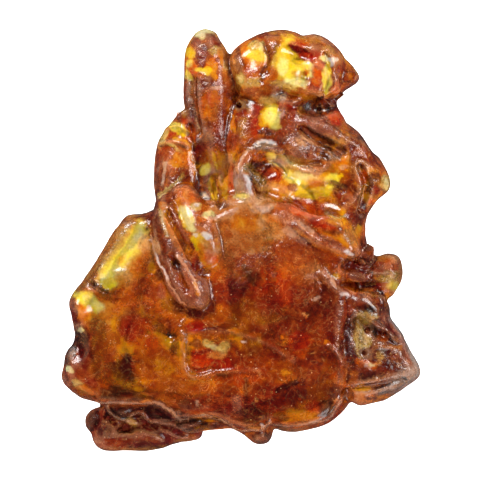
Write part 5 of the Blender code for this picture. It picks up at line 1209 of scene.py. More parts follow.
class Curves:
    """Smooth curves and soft falls that the lump's shape and its colours share."""

    @staticmethod
    def spline(points: tuple, closed: bool, steps: int = 4) -> np.ndarray:
        """Run a smooth curve through every given point.

        Args:
            points: The places to pass through, each of two or more numbers.
            closed: Whether the curve runs back to its start.
            steps: How many points each span gets.

        Returns:
            The points along the curve.
        """
        places = np.array(points, dtype=float)
        count = len(places)
        found = []
        for index in range(count if closed else count - 1):
            if closed:
                before, start, end, after = (places[(index + shift) % count] for shift in (-1, 0, 1, 2))
            else:
                start, end = places[index], places[index + 1]
                before = places[index - 1] if index else 2 * start - end
                after = places[index + 2] if index + 2 < count else 2 * end - start
            for step in range(steps):
                t = step / steps
                found.append(0.5 * (2 * start + (end - before) * t
                                    + (2 * before - 5 * start + 4 * end - after) * t ** 2
                                    + (3 * start - before - 3 * end + after) * t ** 3))
        if not closed:
            found.append(places[-1])
        return np.array(found)

    @staticmethod
    def distance(places: np.ndarray, path: Route) -> np.ndarray:
        """Measure how far each place, seen from the front, lies from a smooth path.

        Args:
            places: The places, two numbers each.
            path: The points that the path passes through.

        Returns:
            One distance for each place.
        """
        line = Curves.spline(path, closed=False)
        nearest = np.full(len(places), np.inf)
        for start, end in zip(line[:-1], line[1:]):
            run = end - start
            along = np.clip((places - start) @ run / max(run @ run, 1e-9), 0, 1)
            nearest = np.minimum(nearest, np.linalg.norm(places - (start + along[:, None] * run), axis=1))
        return nearest

    @staticmethod
    def oval(places: np.ndarray, centre: Pair, radii: Pair, turn: float) -> np.ndarray:
        """Measure how far out each place lies in a turned oval.

        Args:
            places: The places, two numbers each.
            centre: The oval's middle.
            radii: Its two radii.
            turn: How far it is turned, in degrees.

        Returns:
            For each place 0 in the middle, 1 on the oval's edge and more outside.
        """
        angle = math.radians(turn)
        turned = np.array(((math.cos(angle), math.sin(angle)), (-math.sin(angle), math.cos(angle))))
        return np.linalg.norm((places - centre) @ turned.T / radii, axis=1)

    @staticmethod
    def bell(share: np.ndarray) -> np.ndarray:
        """Return a soft bump: 1 at a share of 0, falling to 0 at a share of 1."""
        return np.clip(1 - share ** 2, 0, 1) ** 2

    @staticmethod
    def ease(share: np.ndarray) -> np.ndarray:
        """Return a soft rise from 0 at a share of 0 to 1 at a share of 1."""
        held = np.clip(share, 0, 1)
        return held * held * (3 - 2 * held)

    @staticmethod
    def facing(normals: np.ndarray, side: int = 1) -> np.ndarray:
        """Return how far each point of the skin faces the front (1) or the back (-1)."""
        return np.clip((normals[:, 2] * side + 0.15) / 0.5, 0, 1)

    @staticmethod
    def cloud(points: np.ndarray, length: float) -> np.ndarray:
        """Return a smooth random value between about -1 and 1 at each point."""
        return np.array([noise.noise(Vector(place) / length) for place in points])

    @staticmethod
    def drift(points: np.ndarray, length: float) -> np.ndarray:
        """Return a smooth random direction at each point."""
        return np.array([noise.noise_vector(Vector(place) / length) for place in points])


class Skin:
    """A mesh object that is worked in place."""

    def __init__(self, name: str, bm: bmesh.types.BMesh) -> None:
        """Turn a mesh under construction into an object, and free it.

        Args:
            name: The object's name.
            bm: The mesh under construction.
        """
        mesh = bpy.data.meshes.new(name)
        bm.to_mesh(mesh)
        bm.free()
        self.thing = bpy.data.objects.new(name, mesh)
        bpy.context.collection.objects.link(self.thing)

    def settle(self) -> None:
        """Replace the mesh by what the modifiers make of it."""
        graph = bpy.context.evaluated_depsgraph_get()
        finished = bpy.data.meshes.new_from_object(self.thing.evaluated_get(graph), depsgraph=graph)
        self.thing.modifiers.clear()
        self.thing.data = finished

    def arrays(self) -> tuple[np.ndarray, np.ndarray]:
        """Read the mesh.

        Returns:
            Its points, and the skin's direction at each.
        """
        mesh = self.thing.data
        points = np.empty(len(mesh.vertices) * 3)
        mesh.vertices.foreach_get("co", points)
        normals = np.empty(len(mesh.vertices) * 3)
        mesh.vertex_normals.foreach_get("vector", normals)
        return points.reshape(-1, 3), normals.reshape(-1, 3)

    def move_to(self, points: np.ndarray) -> None:
        """Put the mesh's points in new places."""
        self.thing.data.vertices.foreach_set("co", points.ravel())
        self.thing.data.update()

    def fuse(self, voxel: float) -> None:
        """Melt overlapping bodies into one skin of even small faces.

        Args:
            voxel: How wide a face is.
        """
        remesh = self.thing.modifiers.new("skin", "REMESH")
        remesh.mode = "VOXEL"
        remesh.voxel_size = voxel
        self.settle()

    def relax(self, rounds: int) -> None:
        """Smooth the skin a little.

        Args:
            rounds: How many times.
        """
        smooth = self.thing.modifiers.new("relax", "SMOOTH")
        smooth.factor = 0.5
        smooth.iterations = rounds
        self.settle()

    def thin_out(self, triangles: int) -> None:
        """Thin the skin out on its sides and its back.

        Args:
            triangles: About how many triangles stay.
        """
        split = self.thing.modifiers.new("triangles", "TRIANGULATE")
        split.min_vertices = 4
        self.settle()
        plain = self.thing.vertex_groups.new(name="plain")
        _, normals = self.arrays()
        for index, share in enumerate(1 - Curves.facing(normals)):
            if share > 0:
                plain.add([index], float(share), "REPLACE")
        fewer = self.thing.modifiers.new("fewer faces", "DECIMATE")
        fewer.ratio = min(1.0, triangles / len(self.thing.data.polygons))
        fewer.vertex_group = plain.name
        self.settle()
        self.thing.vertex_groups.clear()

    def carve(self, cutter: Skin) -> None:
        """Cut another closed skin out of this one, and remove that one.

        Args:
            cutter: The other skin.
        """
        cut = self.thing.modifiers.new("cut", "BOOLEAN")
        cut.operation = "DIFFERENCE"
        cut.solver = "EXACT"
        cut.object = cutter.thing
        self.settle()
        bpy.data.objects.remove(cutter.thing, do_unlink=True)

    def relief(self, rounds: int) -> np.ndarray:
        """Measure how far each point stands out of the skin around it.

        Args:
            rounds: How many times the skin is averaged for the comparison.

        Returns:
            One height for each point, below zero in a hollow.
        """
        points, normals = self.arrays()
        mesh = self.thing.data
        edges = np.empty(len(mesh.edges) * 2, dtype=np.int64)
        mesh.edges.foreach_get("vertices", edges)
        first, second = edges.reshape(-1, 2).T
        count = len(points)
        links = np.bincount(first, minlength=count) + np.bincount(second, minlength=count)
        even = points.copy()
        for _ in range(rounds):
            sums = [np.bincount(first, even[second, axis], count)
                    + np.bincount(second, even[first, axis], count) for axis in range(3)]
            even = np.stack(sums, axis=1) / np.maximum(links, 1)[:, None]
        return np.einsum("ij,ij->i", points - even, normals)


@dataclass
class CopalLump:
    """The whole lump of copal as one clear piece, in place of the frame's two halves."""

    name: str = "copal"
    stands_for: tuple[str, ...] = ("copal_front", "copal_back")
    voxel: float = 0.34
    smoothing_rounds: int = 9
    triangles: int = 190000
    edge_steps: int = 5
    drip_steps: int = 10
    least_wall: float = 0.1
    broad_rounds: int = 2
    fine_rounds: int = 1
    resting_cut: float = 1.2
    ripple_height: float = 0.35
    ripple_length: float = 6.0
    side_hollow: float = 2.2
    side_hollow_length: float = 8.0
    grain_height: float = 0.16
    grain_length: float = 0.9
    burrow_sides: int = 20
    burrow_taper: float = 0.5
    box_margin: float = 0.01

    def add_lobe(self, bm: bmesh.types.BMesh, lobe: Lobe) -> None:
        """Add one rounded slab: its outline pulled up, with both ends rounded over.

        Args:
            bm: The mesh under construction.
            lobe: The slab's sizes.
        """
        outline = Curves.spline(lobe.outline, closed=True)
        before = set(bm.verts)
        lower = lobe.low + lobe.edge
        ring = [bm.verts.new((x, y, lower)) for x, y in outline]
        floor = bm.faces.new(ring)
        grown = bmesh.ops.extrude_face_region(bm, geom=[floor])["geom"]
        roof = next(item for item in grown if isinstance(item, bmesh.types.BMFace))
        wall = max(lobe.high - lobe.edge - lower, self.least_wall)
        bmesh.ops.translate(bm, vec=(0, 0, wall), verts=roof.verts)
        new_faces = {face for vert in bm.verts if vert not in before for face in vert.link_faces}
        bmesh.ops.recalc_face_normals(bm, faces=list(new_faces))
        for cap in (floor, roof):
            self.round_over(bm, cap, lobe)
        bmesh.ops.poke(bm, faces=[roof], offset=lobe.crown)
        middle = outline.mean(axis=0)
        for vert in bm.verts:
            if vert not in before:
                share = (vert.co.z - lobe.low) / (lobe.high - lobe.low)
                rise = lobe.slope[0] * (vert.co.x - middle[0]) + lobe.slope[1] * (vert.co.y - middle[1])
                vert.co.z += share * rise

    def round_over(self, bm: bmesh.types.BMesh, cap: bmesh.types.BMFace, lobe: Lobe) -> None:
        """Round one flat end of a slab over in rings.

        Args:
            bm: The mesh under construction.
            cap: The flat end.
            lobe: The slab, whose rim and edge say how far the rings run in and out.
        """
        for step in range(self.edge_steps):
            start = math.radians(90 * step / self.edge_steps)
            end = math.radians(90 * (step + 1) / self.edge_steps)
            inwards = lobe.rim * (math.cos(start) - math.cos(end))
            outwards = lobe.edge * (math.sin(end) - math.sin(start))
            bmesh.ops.inset_region(bm, faces=[cap], thickness=inwards, depth=outwards,
                                   use_even_offset=False)

    def add_drip(self, bm: bmesh.types.BMesh, drip: Drip) -> None:
        """Add a run of resin, as balls that melt into each other.

        Args:
            bm: The mesh under construction.
            drip: The places, heights and radii along the run.
        """
        for x, y, z, radius in Curves.spline(drip.run, closed=False, steps=self.drip_steps):
            place = Matrix.Translation((x, y, z))
            bmesh.ops.create_icosphere(bm, subdivisions=2, radius=radius, matrix=place)

    def work(self, skin: Skin, strokes: tuple[Stroke, ...], dents: tuple[Dent, ...], broad: bool) -> None:
        """Press ridges, grooves and hollows into the skin.

        Args:
            skin: The lump.
            strokes: The ridges and grooves.
            dents: The hollows and swellings.
            broad: Whether the broad ripples and the hollows of the sides are pressed in too.
        """
        points, normals = skin.arrays()
        flat = points[:, :2]
        lift = np.zeros(len(points))
        for stroke in strokes:
            near = Curves.bell(Curves.distance(flat, stroke.path) / stroke.width)
            lift += stroke.height * near * Curves.facing(normals, stroke.facing)
        for dent in dents:
            near = Curves.bell(Curves.oval(flat, dent.centre, dent.radii, dent.turn))
            lift -= dent.depth * near * Curves.facing(normals, dent.facing)
        if broad:
            lift += self.ripple_height * Curves.cloud(points, self.ripple_length)
            steepness = 1 - np.abs(normals[:, 2])
            hollows = np.clip(Curves.cloud(points, self.side_hollow_length), 0, 1)
            lift -= self.side_hollow * steepness * hollows
        skin.move_to(points + normals * lift[:, None])
        LOG.info("worked in %s", ", ".join(mark.name for mark in strokes + dents))

    def fit(self, skin: Skin, low: np.ndarray, high: np.ndarray, cut: float) -> None:
        """Stretch the lump to exactly fill a box, resting on the box's floor.

        Args:
            skin: The lump.
            low: The box's lowest corner.
            high: The box's highest corner.
            cut: How much of the lump's underside will be sliced off.
        """
        points, _ = skin.arrays()
        lowest, highest = points.min(axis=0), points.max(axis=0)
        lowest[2] += cut
        skin.move_to(low + (points - lowest) * (high - low) / (highest - lowest))

    def slice_foot(self, skin: Skin) -> None:
        """Slice off what hangs below height zero, which leaves the flat resting spots.

        Args:
            skin: The lump.
        """
        bm = bmesh.new()
        bm.from_mesh(skin.thing.data)
        everything = bm.verts[:] + bm.edges[:] + bm.faces[:]
        cut = bmesh.ops.bisect_plane(bm, geom=everything, dist=1e-4, plane_co=(0, 0, 0),
                                     plane_no=(0, 0, -1), clear_outer=True)["geom_cut"]
        rim = [item for item in cut if isinstance(item, bmesh.types.BMEdge)]
        bmesh.ops.holes_fill(bm, edges=rim, sides=0)
        bmesh.ops.triangulate(bm, faces=[face for face in bm.faces if len(face.verts) > 4])
        bmesh.ops.recalc_face_normals(bm, faces=bm.faces)
        bm.to_mesh(skin.thing.data)
        bm.free()

    def bore(self, skin: Skin) -> None:
        """Cut the small round burrows, all at once.

        Args:
            skin: The lump.
        """
        bm = bmesh.new()
        for burrow in BURROWS:
            aim = (-Vector(burrow.heading)).to_track_quat("Z", "Y")
            place = Matrix.Translation(burrow.mouth) @ aim.to_matrix().to_4x4()
            bmesh.ops.create_cone(bm, cap_ends=True, segments=self.burrow_sides,
                                  radius1=burrow.radius * self.burrow_taper, radius2=burrow.radius,
                                  depth=burrow.depth, matrix=place)
            LOG.info("bored the %s", burrow.name)
        skin.carve(Skin("burrows", bm))

    def build(self, low: np.ndarray, high: np.ndarray) -> Skin:
        """Build the lump and colour it.

        Args:
            low: The lowest corner of the frame's two halves, in millimetres.
            high: Their highest corner.

        Returns:
            The finished skin, in metres.
        """
        bm = bmesh.new()
        for lobe in LOBES:
            self.add_lobe(bm, lobe)
        for drip in DRIPS:
            self.add_drip(bm, drip)
        LOG.info("melting together %s", ", ".join(form.name for form in LOBES + DRIPS))
        skin = Skin(self.name, bm)
        skin.fuse(self.voxel)
        skin.relax(self.smoothing_rounds)
        skin.thin_out(self.triangles)
        self.work(skin, STROKES, DENTS, broad=True)
        skin.relax(self.broad_rounds)
        self.work(skin, FINE_STROKES, FINE_DENTS, broad=False)
        skin.relax(self.fine_rounds)
        low, high = low + self.box_margin, high - self.box_margin
        low[2] = 0.0
        self.fit(skin, low, high, self.resting_cut)
        self.bore(skin)
        tones, crust = CopalColours().paint(skin)
        self.roughen(skin, crust)
        self.keep_attributes(skin, tones, crust)
        self.fit(skin, low, high, -skin.arrays()[0][:, 2].min())
        self.slice_foot(skin)
        skin.thing.data.transform(Matrix.Scale(MM, 4))
        skin.thing.data.shade_smooth()
        return skin

    def roughen(self, skin: Skin, crust: np.ndarray) -> None:
        """Raise a fine grain where the skin is crusty.

        Args:
            skin: The lump.
            crust: The crust at each point.
        """
        points, normals = skin.arrays()
        grain = Curves.cloud(points, self.grain_length) * self.grain_height * crust
        skin.move_to(points + normals * grain[:, None])

    @staticmethod
    def keep_attributes(skin: Skin, tones: np.ndarray, crust: np.ndarray) -> None:
        """Keep the tone and the crust at each point of the mesh.

        Args:
            skin: The lump.
            tones: The tone at each point.
            crust: The crust at each point.
        """
        mesh = skin.thing.data
        colour = mesh.attributes.new("copal_tone", "FLOAT_COLOR", "POINT")
        colour.data.foreach_set("color", np.column_stack((tones, np.ones(len(tones)))).ravel())
        kept = mesh.attributes.new("crust", "FLOAT", "POINT")
        kept.data.foreach_set("value", crust)


@dataclass
class CopalColours:
    """The resin's colours: broad zones all round, and the clouds and streaks of its front, among them
    painted highlights, sheen and shade.
    """

    zone_length: float = 11.0
    zone_share: float = 0.85
    broad_drift: float = 0.4
    broad_drift_length: float = 3.2
    fine_drift: float = 0.25
    fine_drift_length: float = 0.9
    ragged: float = 0.20
    ragged_length: float = 1.1
    crispness: float = 0.75
    reach: float = 1.5
    # How far the relief is averaged, and how much painted highlight the ridges and painted shade the hollows
    # get
    relief_rounds: int = 12
    ridge: float = 0.10
    ridge_highlight_share: float = 0.2
    hollow: float = 0.12
    hollow_shade_share: float = 0.5
    burrow_shade: float = 1.35
    burrow_share: float = 0.95
    wall_reach: float = 0.35
    wall_fade: float = 0.4
    show_through: float = 0.8
    wall_loss: float = 0.7

    def zones(self, points: np.ndarray) -> tuple[np.ndarray, np.ndarray]:
        """Lay the broad zones of the back and the sides.

        Args:
            points: The lump's points.

        Returns:
            The tone and the crust at each point.
        """
        first = Curves.cloud(points, self.zone_length)
        second = Curves.cloud(points + 40, self.zone_length * 0.45)
        tones = np.tile(Tone.COPPER.linear, (len(points), 1))
        crust = np.full(len(points), Tone.RUST.crust)
        for tone, share in ((Tone.HONEY, first * 3), (Tone.GOLD, first * 3.2 - 0.6),
                            (Tone.RUST, -first * 3), (Tone.PLUM, second * 3 - 0.6),
                            (Tone.AMBER, -second * 3 - 0.4), (Tone.HONEY, second * 2.2 + first - 0.9)):
            tones, crust = self.lay(tones, crust, tone, Curves.ease(share) * self.zone_share)
        return tones, crust

    @staticmethod
    def lay(tones: np.ndarray, crust: np.ndarray, tone: Tone, share: np.ndarray) -> tuple:
        """Lay one more tone over what is there.

        Args:
            tones: The tone at each point so far.
            crust: The crust at each point so far.
            tone: The tone to lay on.
            share: How much of it each point gets.

        Returns:
            The new tone and crust at each point.
        """
        blend = share[:, None]
        return tones * (1 - blend) + tone.linear * blend, crust * (1 - share) + tone.crust * share

    def cover(self, flat: np.ndarray, rough: np.ndarray, tint: Patch | Streak) -> np.ndarray:
        """Work out how much of a tint each place gets.

        Args:
            flat: The places as seen from the front, with their drift.
            rough: How ragged a tint's edge is at each place.
            tint: The cloud or the streak.

        Returns:
            One share for each place.
        """
        if isinstance(tint, Patch):
            out = Curves.oval(flat, tint.centre, tint.radii, tint.turn)
        else:
            out = Curves.distance(flat, tint.path) / tint.width
        return tint.share * Curves.ease(0.05 + (1 + rough - out) / (tint.soft * self.crispness))

    def paint(self, skin: Skin) -> tuple[np.ndarray, np.ndarray]:
        """Work out the colour, with its painted highlights and shade, and the crust of every point of the
        lump.

        Args:
            skin: The lump, in millimetres.

        Returns:
            The tone and the crust at each point.
        """
        points, normals = skin.arrays()
        tones, crust = self.zones(points)
        flat = points[:, :2] + self.broad_drift * Curves.drift(points, self.broad_drift_length)[:, :2]
        flat = flat + self.fine_drift * Curves.drift(points, self.fine_drift_length)[:, :2]
        rough = self.ragged * Curves.cloud(points, self.ragged_length)
        front = np.clip((normals[:, 2] + self.wall_reach) / self.wall_fade, 0, 1)
        walls = np.clip(1.2 - 2 * np.abs(normals[:, 2]), 0, 1)
        through = np.maximum(front, self.show_through * (1 - self.wall_loss * walls))
        for tint in TINTS:
            facing = through if tint.tone in CLEAR_TONES else front
            if isinstance(tint, Patch):
                low = np.array(tint.centre) - max(tint.radii) * self.reach
                high = np.array(tint.centre) + max(tint.radii) * self.reach
            else:
                low = np.min(tint.path, axis=0) - tint.width * self.reach
                high = np.max(tint.path, axis=0) + tint.width * self.reach
            near = np.flatnonzero(np.all((flat > low) & (flat < high), axis=1) & (facing > 0))
            if len(near):
                share = self.cover(flat[near], rough[near], tint) * facing[near]
                tones[near], crust[near] = self.lay(tones[near], crust[near], tint.tone, share)
        # Painted highlights on the ridges and painted shade in the hollows
        tones, crust = self.paint_ridge_highlights_and_hollow_shade(skin, tones, crust)
        # Darker where the resin is deeper, lighter where painted light lifts the shade of hollows and steep
        # slopes
        depth_and_painted_light = np.zeros(len(points))
        for depth in DEPTHS_AND_PAINTED_LIGHT:
            depth_and_painted_light += depth.depth * Curves.bell(Curves.oval(flat, depth.centre, depth.radii, depth.turn))
        tones = tones ** (1 + depth_and_painted_light * front)[:, None]
        for burrow in BURROWS:
            inside = np.linalg.norm(points - burrow.mouth, axis=1) / (burrow.radius * self.burrow_shade)
            shade = Curves.ease(3 * (1.15 - inside)) * self.burrow_share
            tones, crust = self.lay(tones, crust, Tone.SOOT, shade)
        return tones, crust

    def paint_ridge_highlights_and_hollow_shade(self, skin: Skin, tones: np.ndarray, crust: np.ndarray) -> tuple:
        """Paint highlights on the sharp ridges and shade in the hollows.

        Args:
            skin: The lump.
            tones: The tone at each point.
            crust: The crust at each point.

        Returns:
            The new tone and crust at each point.
        """
        relief = skin.relief(self.relief_rounds)
        ridges = Curves.ease((relief - self.ridge * 0.5) / self.ridge)
        hollows = Curves.ease((-relief - self.hollow * 0.5) / self.hollow)
        # A painted highlight on the ridges, then a painted shade in the hollows
        tones, crust = self.lay(tones, crust, Tone.BLUSH, ridges * self.ridge_highlight_share)
        return self.lay(tones, crust, Tone.OXBLOOD, hollows * self.hollow_shade_share)


class Bench:
    """A workbench for one material: it sets out shader nodes and ties them together."""

    def __init__(self, name: str) -> None:
        """Start a material with a plain Principled shader.

        Args:
            name: The material's name.
        """
        self.material = bpy.data.materials.new(name)
        self.material.use_nodes = True
        self.tree = self.material.node_tree
        self.shader = self.tree.nodes["Principled BSDF"]
        self.output = self.tree.nodes["Material Output"]
        self.place = self.node("ShaderNodeTexCoord").outputs["Object"]

    def node(self, kind: str, **choices: object) -> bpy.types.Node:
        """Set out one node.

        Args:
            kind: Blender's name for the kind of node.
            choices: The node's own choices.

        Returns:
            The node.
        """
        made = self.tree.nodes.new(kind)
        for name, value in choices.items():
            setattr(made, name, value)
        return made

    def feed(self, socket: bpy.types.NodeSocket, value: object) -> None:
        """Give a socket its value.

        Args:
            socket: The socket.
            value: A plain value, or another node's output to tie to it.
        """
        if isinstance(value, bpy.types.NodeSocket):
            self.tree.links.new(value, socket)
        else:
            socket.default_value = value

    def work_out(self, operation: str, *values: object) -> bpy.types.NodeSocket:
        """Set out one sum.

        Args:
            operation: Blender's name for the sum.
            values: Its values, plain or from other nodes.

        Returns:
            The result.
        """
        sum_node = self.node("ShaderNodeMath", operation=operation)
        for socket, value in zip(sum_node.inputs, values):
            self.feed(socket, value)
        return sum_node.outputs[0]

    def noise(self, feature: float, detail: float = 3.0, distortion: float = 0.0) -> bpy.types.NodeSocket:
        """Set out a noise.

        Args:
            feature: How wide its features are, in millimetres.
            detail: How many finer layers it has.
            distortion: How twisted it is.

        Returns:
            The noise's value.
        """
        made = self.node("ShaderNodeTexNoise")
        self.feed(made.inputs["Vector"], self.place)
        made.inputs["Scale"].default_value = 1 / (feature * MM)
        made.inputs["Detail"].default_value = detail
        made.inputs["Distortion"].default_value = distortion
        return made.outputs["Fac"]

    def cells(self, feature: float) -> bpy.types.Node:
        """Set out a pattern of cells.

        Args:
            feature: How wide a cell is, in millimetres.

        Returns:
            The pattern's node.
        """
        made = self.node("ShaderNodeTexVoronoi")
        self.feed(made.inputs["Vector"], self.place)
        made.inputs["Scale"].default_value = 1 / (feature * MM)
        return made

    def attribute(self, name: str, output: str) -> bpy.types.NodeSocket:
        """Return a value that the mesh keeps at its points."""
        return self.node("ShaderNodeAttribute", attribute_name=name).outputs[output]

    def span(self, value: object, low: float, high: float, start: object,
             end: object) -> bpy.types.NodeSocket:
        """Move a value from one span to another, and hold it within that.

        Args:
            value: The value.
            low: The first span's start.
            high: The first span's end.
            start: The second span's start.
            end: The second span's end.

        Returns:
            The moved value.
        """
        made = self.node("ShaderNodeMapRange", clamp=True)
        for name, given in (("Value", value), ("From Min", low), ("From Max", high), ("To Min", start),
                            ("To Max", end)):
            self.feed(made.inputs[name], given)
        return made.outputs["Result"]

    def spread(self, noise_value: object, start: object, end: object) -> bpy.types.NodeSocket:
        """Return a noise spread out between two values."""
        return self.span(noise_value, NOISE_LOW, NOISE_HIGH, start, end)

    def blend(self, share: object, under: object, over: object, way: str = "MIX") -> bpy.types.NodeSocket:
        """Return one colour laid over another by a share.

        Args:
            share: How much of the upper colour shows.
            under: The lower colour.
            over: The upper colour.
            way: Blender's name for the way of mixing.

        Returns:
            The mixed colour.
        """
        made = self.node("ShaderNodeMix", data_type="RGBA", blend_type=way)
        sockets = {socket.identifier: socket for socket in made.inputs}
        self.feed(sockets["Factor_Float"], share)
        self.feed(sockets["A_Color"], under)
        self.feed(sockets["B_Color"], over)
        return next(socket for socket in made.outputs if socket.identifier == "Result_Color")

    def thicken(self, tone: bpy.types.NodeSocket, depth: bpy.types.NodeSocket) -> bpy.types.NodeSocket:
        """Deepen a tone as more resin over it would.

        Args:
            tone: The tone.
            depth: How many times its usual depth the resin has.

        Returns:
            The deeper tone.
        """
        made = self.node("ShaderNodeGamma")
        self.feed(made.inputs["Color"], tone)
        self.feed(made.inputs["Gamma"], depth)
        return made.outputs["Color"]

    def bump(self, height: bpy.types.NodeSocket, strength: float, depth: float) -> None:
        """Raise a fine relief on the shader.

        Args:
            height: The relief's height, from 0 to 1.
            strength: How strongly it shows.
            depth: How deep it is, in millimetres.
        """
        made = self.node("ShaderNodeBump")
        made.inputs["Strength"].default_value = strength
        made.inputs["Distance"].default_value = depth * MM
        self.feed(made.inputs["Height"], height)
        self.feed(self.shader.inputs["Normal"], made.outputs["Normal"])

    def set(self, **values: object) -> None:
        """Give the shader's own sockets plain values, with low lines in place of spaces."""
        for name, value in values.items():
            self.feed(self.shader.inputs[name.replace("_", " ")], value)


@dataclass(frozen=True)
class CopalFinish:
    """Clear copal with clouds, threads and dark flecks in it and painted pale glints on it, polished on the
    face and crusty elsewhere.
    """

    clearness: float = 0.55
    bending: float = 1.54
    coat: float = 0.02
    absorbed: Quad = (0.95, 0.60, 0.14, 1.0)
    absorption: float = 30.0
    polish: float = 0.15
    roughest: float = 0.22
    coat_roughness: float = 0.06
    thread: Quad = (0.85, 0.42, 0.14, 1.0)
    painted_glint: Quad = (1.0, 0.70, 0.34, 1.0)
    speck: Quad = (0.16, 0.03, 0.01, 1.0)
    fleck_share: float = 0.5
    bump_strength: float = 0.5
    bump_depth: float = 0.45

    def make(self) -> bpy.types.Material:
        """Make the material.

        Returns:
            The finished material.
        """
        bench = Bench("amber-coloured copal")
        crust = bench.attribute("crust", "Fac")
        tone = bench.attribute("copal_tone", "Color")
        tone = bench.thicken(tone, bench.spread(bench.noise(1.5, 6.0, 0.5), 0.66, 1.34))
        fine = bench.spread(bench.noise(0.4, 3.0), bench.span(crust, 0.0, 0.7, 0.84, 0.60),
                            bench.span(crust, 0.0, 0.7, 1.16, 1.42))
        tone = bench.blend(1.0, tone, self.grey(bench, fine), "MULTIPLY")
        line = bench.work_out("ABSOLUTE", bench.work_out("SUBTRACT", bench.noise(3.0, 4.0, 1.2), 0.5))
        tone = bench.blend(bench.span(line, 0.0, 0.014, 0.32, 0.0), tone, self.thread)
        # The pale flecks are painted glints, the dark ones specks in the resin
        for feature, size, rarity, colour in ((1.0, 0.08, 0.82, self.painted_glint), (1.9, 0.06, 0.75, self.speck)):
            flecks = self.flecks(bench, feature, size, rarity)
            tone = bench.blend(bench.work_out("MULTIPLY", flecks, self.fleck_share), tone, colour)
        wander = bench.spread(bench.noise(4.0, 2.0), -0.02, 0.05)
        rough = bench.work_out("ADD", bench.span(crust, 0.0, 1.0, self.polish, self.roughest), wander)
        grain = bench.work_out("MULTIPLY", bench.noise(0.42, 4.0), bench.span(crust, 0.0, 1.0, 0.06, 1.0))
        waves = bench.work_out("MULTIPLY", bench.noise(3.6, 1.0), 0.5)
        knobs = bench.work_out("MULTIPLY", bench.noise(1.3, 3.0), bench.span(crust, 0.0, 0.6, 0.12, 1.6))
        height = bench.work_out("ADD", bench.work_out("ADD", grain, waves), knobs)
        bench.bump(height, self.bump_strength, self.bump_depth)
        bench.set(Base_Color=tone, Roughness=rough, IOR=self.bending, Transmission_Weight=self.clearness,
                  Coat_Weight=self.coat, Coat_Roughness=self.coat_roughness)
        volume = bench.node("ShaderNodeVolumeAbsorption")
        volume.inputs["Color"].default_value = self.absorbed
        volume.inputs["Density"].default_value = self.absorption
        bench.feed(bench.output.inputs["Volume"], volume.outputs[0])
        return bench.material

    @staticmethod
    def grey(bench: Bench, value: bpy.types.NodeSocket) -> bpy.types.NodeSocket:
        """Make a grey colour of a value.

        Args:
            bench: The material's workbench.
            value: How light the grey is.

        Returns:
            The grey.
        """
        made = bench.node("ShaderNodeCombineColor")
        for socket in made.inputs:
            bench.feed(socket, value)
        return made.outputs[0]

    @staticmethod
    def flecks(bench: Bench, feature: float, size: float, rarity: float) -> bpy.types.NodeSocket:
        """Scatter small flecks, one in some of the cells of a pattern.

        Args:
            bench: The material's workbench.
            feature: How far apart the cells lie, in millimetres.
            size: A fleck's size as a share of its cell.
            rarity: The share of the cells that hold no fleck.

        Returns:
            A value of 1 on the flecks and 0 elsewhere.
        """
        cells = bench.cells(feature)
        near = bench.span(cells.outputs["Distance"], size, size * 2.2, 1.0, 0.0)
        pick = bench.node("ShaderNodeSeparateColor")
        bench.feed(pick.inputs[0], cells.outputs["Color"])
        chosen = bench.work_out("GREATER_THAN", pick.outputs[0], rarity)
        return bench.work_out("MULTIPLY", near, chosen)


@dataclass(frozen=True)
class ShellFinish:
    """The insects' dark brown shell, with a faint grain and a paler bloom."""

    dark: Quad = (0.018, 0.008, 0.004, 1.0)
    pale: Quad = (0.10, 0.045, 0.018, 1.0)
    roughness: Pair = (0.28, 0.45)
    bending: float = 1.5
    bump_strength: float = 0.4
    bump_depth: float = 0.04

    def make(self) -> bpy.types.Material:
        """Make the material.

        Returns:
            The finished material.
        """
        bench = Bench("dark insect shell")
        bloom = bench.span(bench.noise(0.5, 4.0), 0.4, NOISE_HIGH, 0.0, 1.0)
        bench.set(Base_Color=bench.blend(bloom, self.dark, self.pale),
                  Roughness=bench.spread(bench.noise(0.3, 2.0), *self.roughness), IOR=self.bending)
        bench.bump(bench.noise(0.25, 3.0), self.bump_strength, self.bump_depth)
        return bench.material


@dataclass
class SealedInsects:
    """The insects sealed in the copal: they are the frame's own and only get their shell."""

    names: tuple[str, ...] = ("bee", "gnat", "beetle", "ant", "termite")

    def dress(self, nodes: dict) -> None:
        """Give every insect its shell.

        Args:
            nodes: The frame's nodes by name.
        """
        shell = ShellFinish().make()
        for name in self.names:
            insect = nodes[name]
            insect.data.materials.clear()
            insect.data.materials.append(shell)
            LOG.info("dressed %s", name)


@dataclass(frozen=True)
class Softbox:
    """A soft square studio light: where it hangs, how wide and how strong it is."""

    name: str
    place: tuple[float, float, float]
    width: float
    watts: float

    def hang(self) -> None:
        """Hang the light and aim it at the lump."""
        light = bpy.data.lights.new(self.name, "AREA")
        light.shape = "SQUARE"
        light.size = self.width
        light.energy = self.watts
        lamp = bpy.data.objects.new(self.name, light)
        lamp.location = self.place
        aim = Vector((0, 0, LIT_HEIGHT)) - Vector(self.place)
        lamp.rotation_euler = aim.to_track_quat("-Z", "Y").to_euler()
        bpy.context.collection.objects.link(lamp)


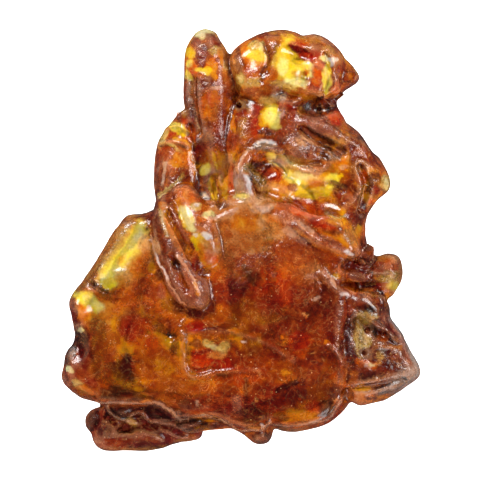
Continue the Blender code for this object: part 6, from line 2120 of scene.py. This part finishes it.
@dataclass
class Studio:
    """The pale floor, the soft lights and the camera that looks straight down."""

    floor_width: float = 6.0
    floor_drop: float = 0.00002
    floor_glow: float = 2.4
    sky: float = 0.07
    eye: tuple[float, float, float] = (-0.0003, 0.0001, 2.42)
    lens: float = 900.0
    boxes: tuple[Softbox, ...] = (
        Softbox("key light", (-0.20, 0.30, 0.30), 0.20, 2.3),
        Softbox("right light", (0.34, 0.10, 0.26), 0.18, 1.1),
        Softbox("low light", (0.22, -0.32, 0.20), 0.18, 0.45),
    )

    def lay_floor(self) -> None:
        """Lay the plain pale floor, lit from below like a light table."""
        bm = bmesh.new()
        bmesh.ops.create_grid(bm, x_segments=1, y_segments=1, size=self.floor_width / 2,
                              matrix=Matrix.Translation((0, 0, -self.floor_drop)))
        floor = Skin("studio_floor", bm).thing
        bench = Bench("plain pale floor")
        bench.set(Base_Color=(0.2, 0.2, 0.2, 1.0), Roughness=0.9, Specular_IOR_Level=0.1,
                  Emission_Color=(1.0, 1.0, 1.0, 1.0), Emission_Strength=self.floor_glow)
        floor.data.materials.append(bench.material)
        floor.visible_glossy = False

    def light_world(self) -> None:
        """Give the room its even grey light."""
        world = bpy.data.worlds.new("studio")
        world.use_nodes = True
        world.node_tree.nodes["Background"].inputs["Color"].default_value = (1.0, 1.0, 1.0, 1.0)
        world.node_tree.nodes["Background"].inputs["Strength"].default_value = self.sky
        bpy.context.scene.world = world

    def set_camera(self) -> None:
        """Hang the camera over the lump."""
        lens = bpy.data.cameras.new("camera")
        lens.lens = self.lens
        lens.sensor_width = 36.0
        lens.clip_start = 0.01
        camera = bpy.data.objects.new("camera", lens)
        camera.location = self.eye
        bpy.context.collection.objects.link(camera)
        bpy.context.scene.camera = camera

    def set_up(self) -> None:
        """Set up the whole studio."""
        self.lay_floor()
        self.light_world()
        for box in self.boxes:
            box.hang()
        self.set_camera()
        scene = bpy.context.scene
        scene.view_settings.view_transform = "Standard"
        scene.cycles.use_denoising = True


def corners(box: tuple) -> list[list[float]]:
    """Return a box's two corners as plain lists of numbers."""
    return [[float(number) for number in corner] for corner in box]


def main() -> None:
    """Build, dress and light the copal."""
    noise.seed_set(DRIFT_SEED)
    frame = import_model()
    lump = CopalLump()
    boxes = [corners(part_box(name)) for name in lump.stands_for]
    low = np.min([box[0] for box in boxes], axis=0) / MM
    high = np.max([box[1] for box in boxes], axis=0) / MM
    copal = lump.build(low, high).thing
    copal.data.materials.append(CopalFinish().make())
    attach(copal, "root")
    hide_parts(*lump.stands_for)
    LOG.info("built %s with %d faces", copal.name, len(copal.data.polygons))
    SealedInsects().dress(frame["nodes"])
    Studio().set_up()
    LOG.info("wrote the two boxes")


if __name__ == "__main__":
    logging.basicConfig(level=logging.INFO)
    main()
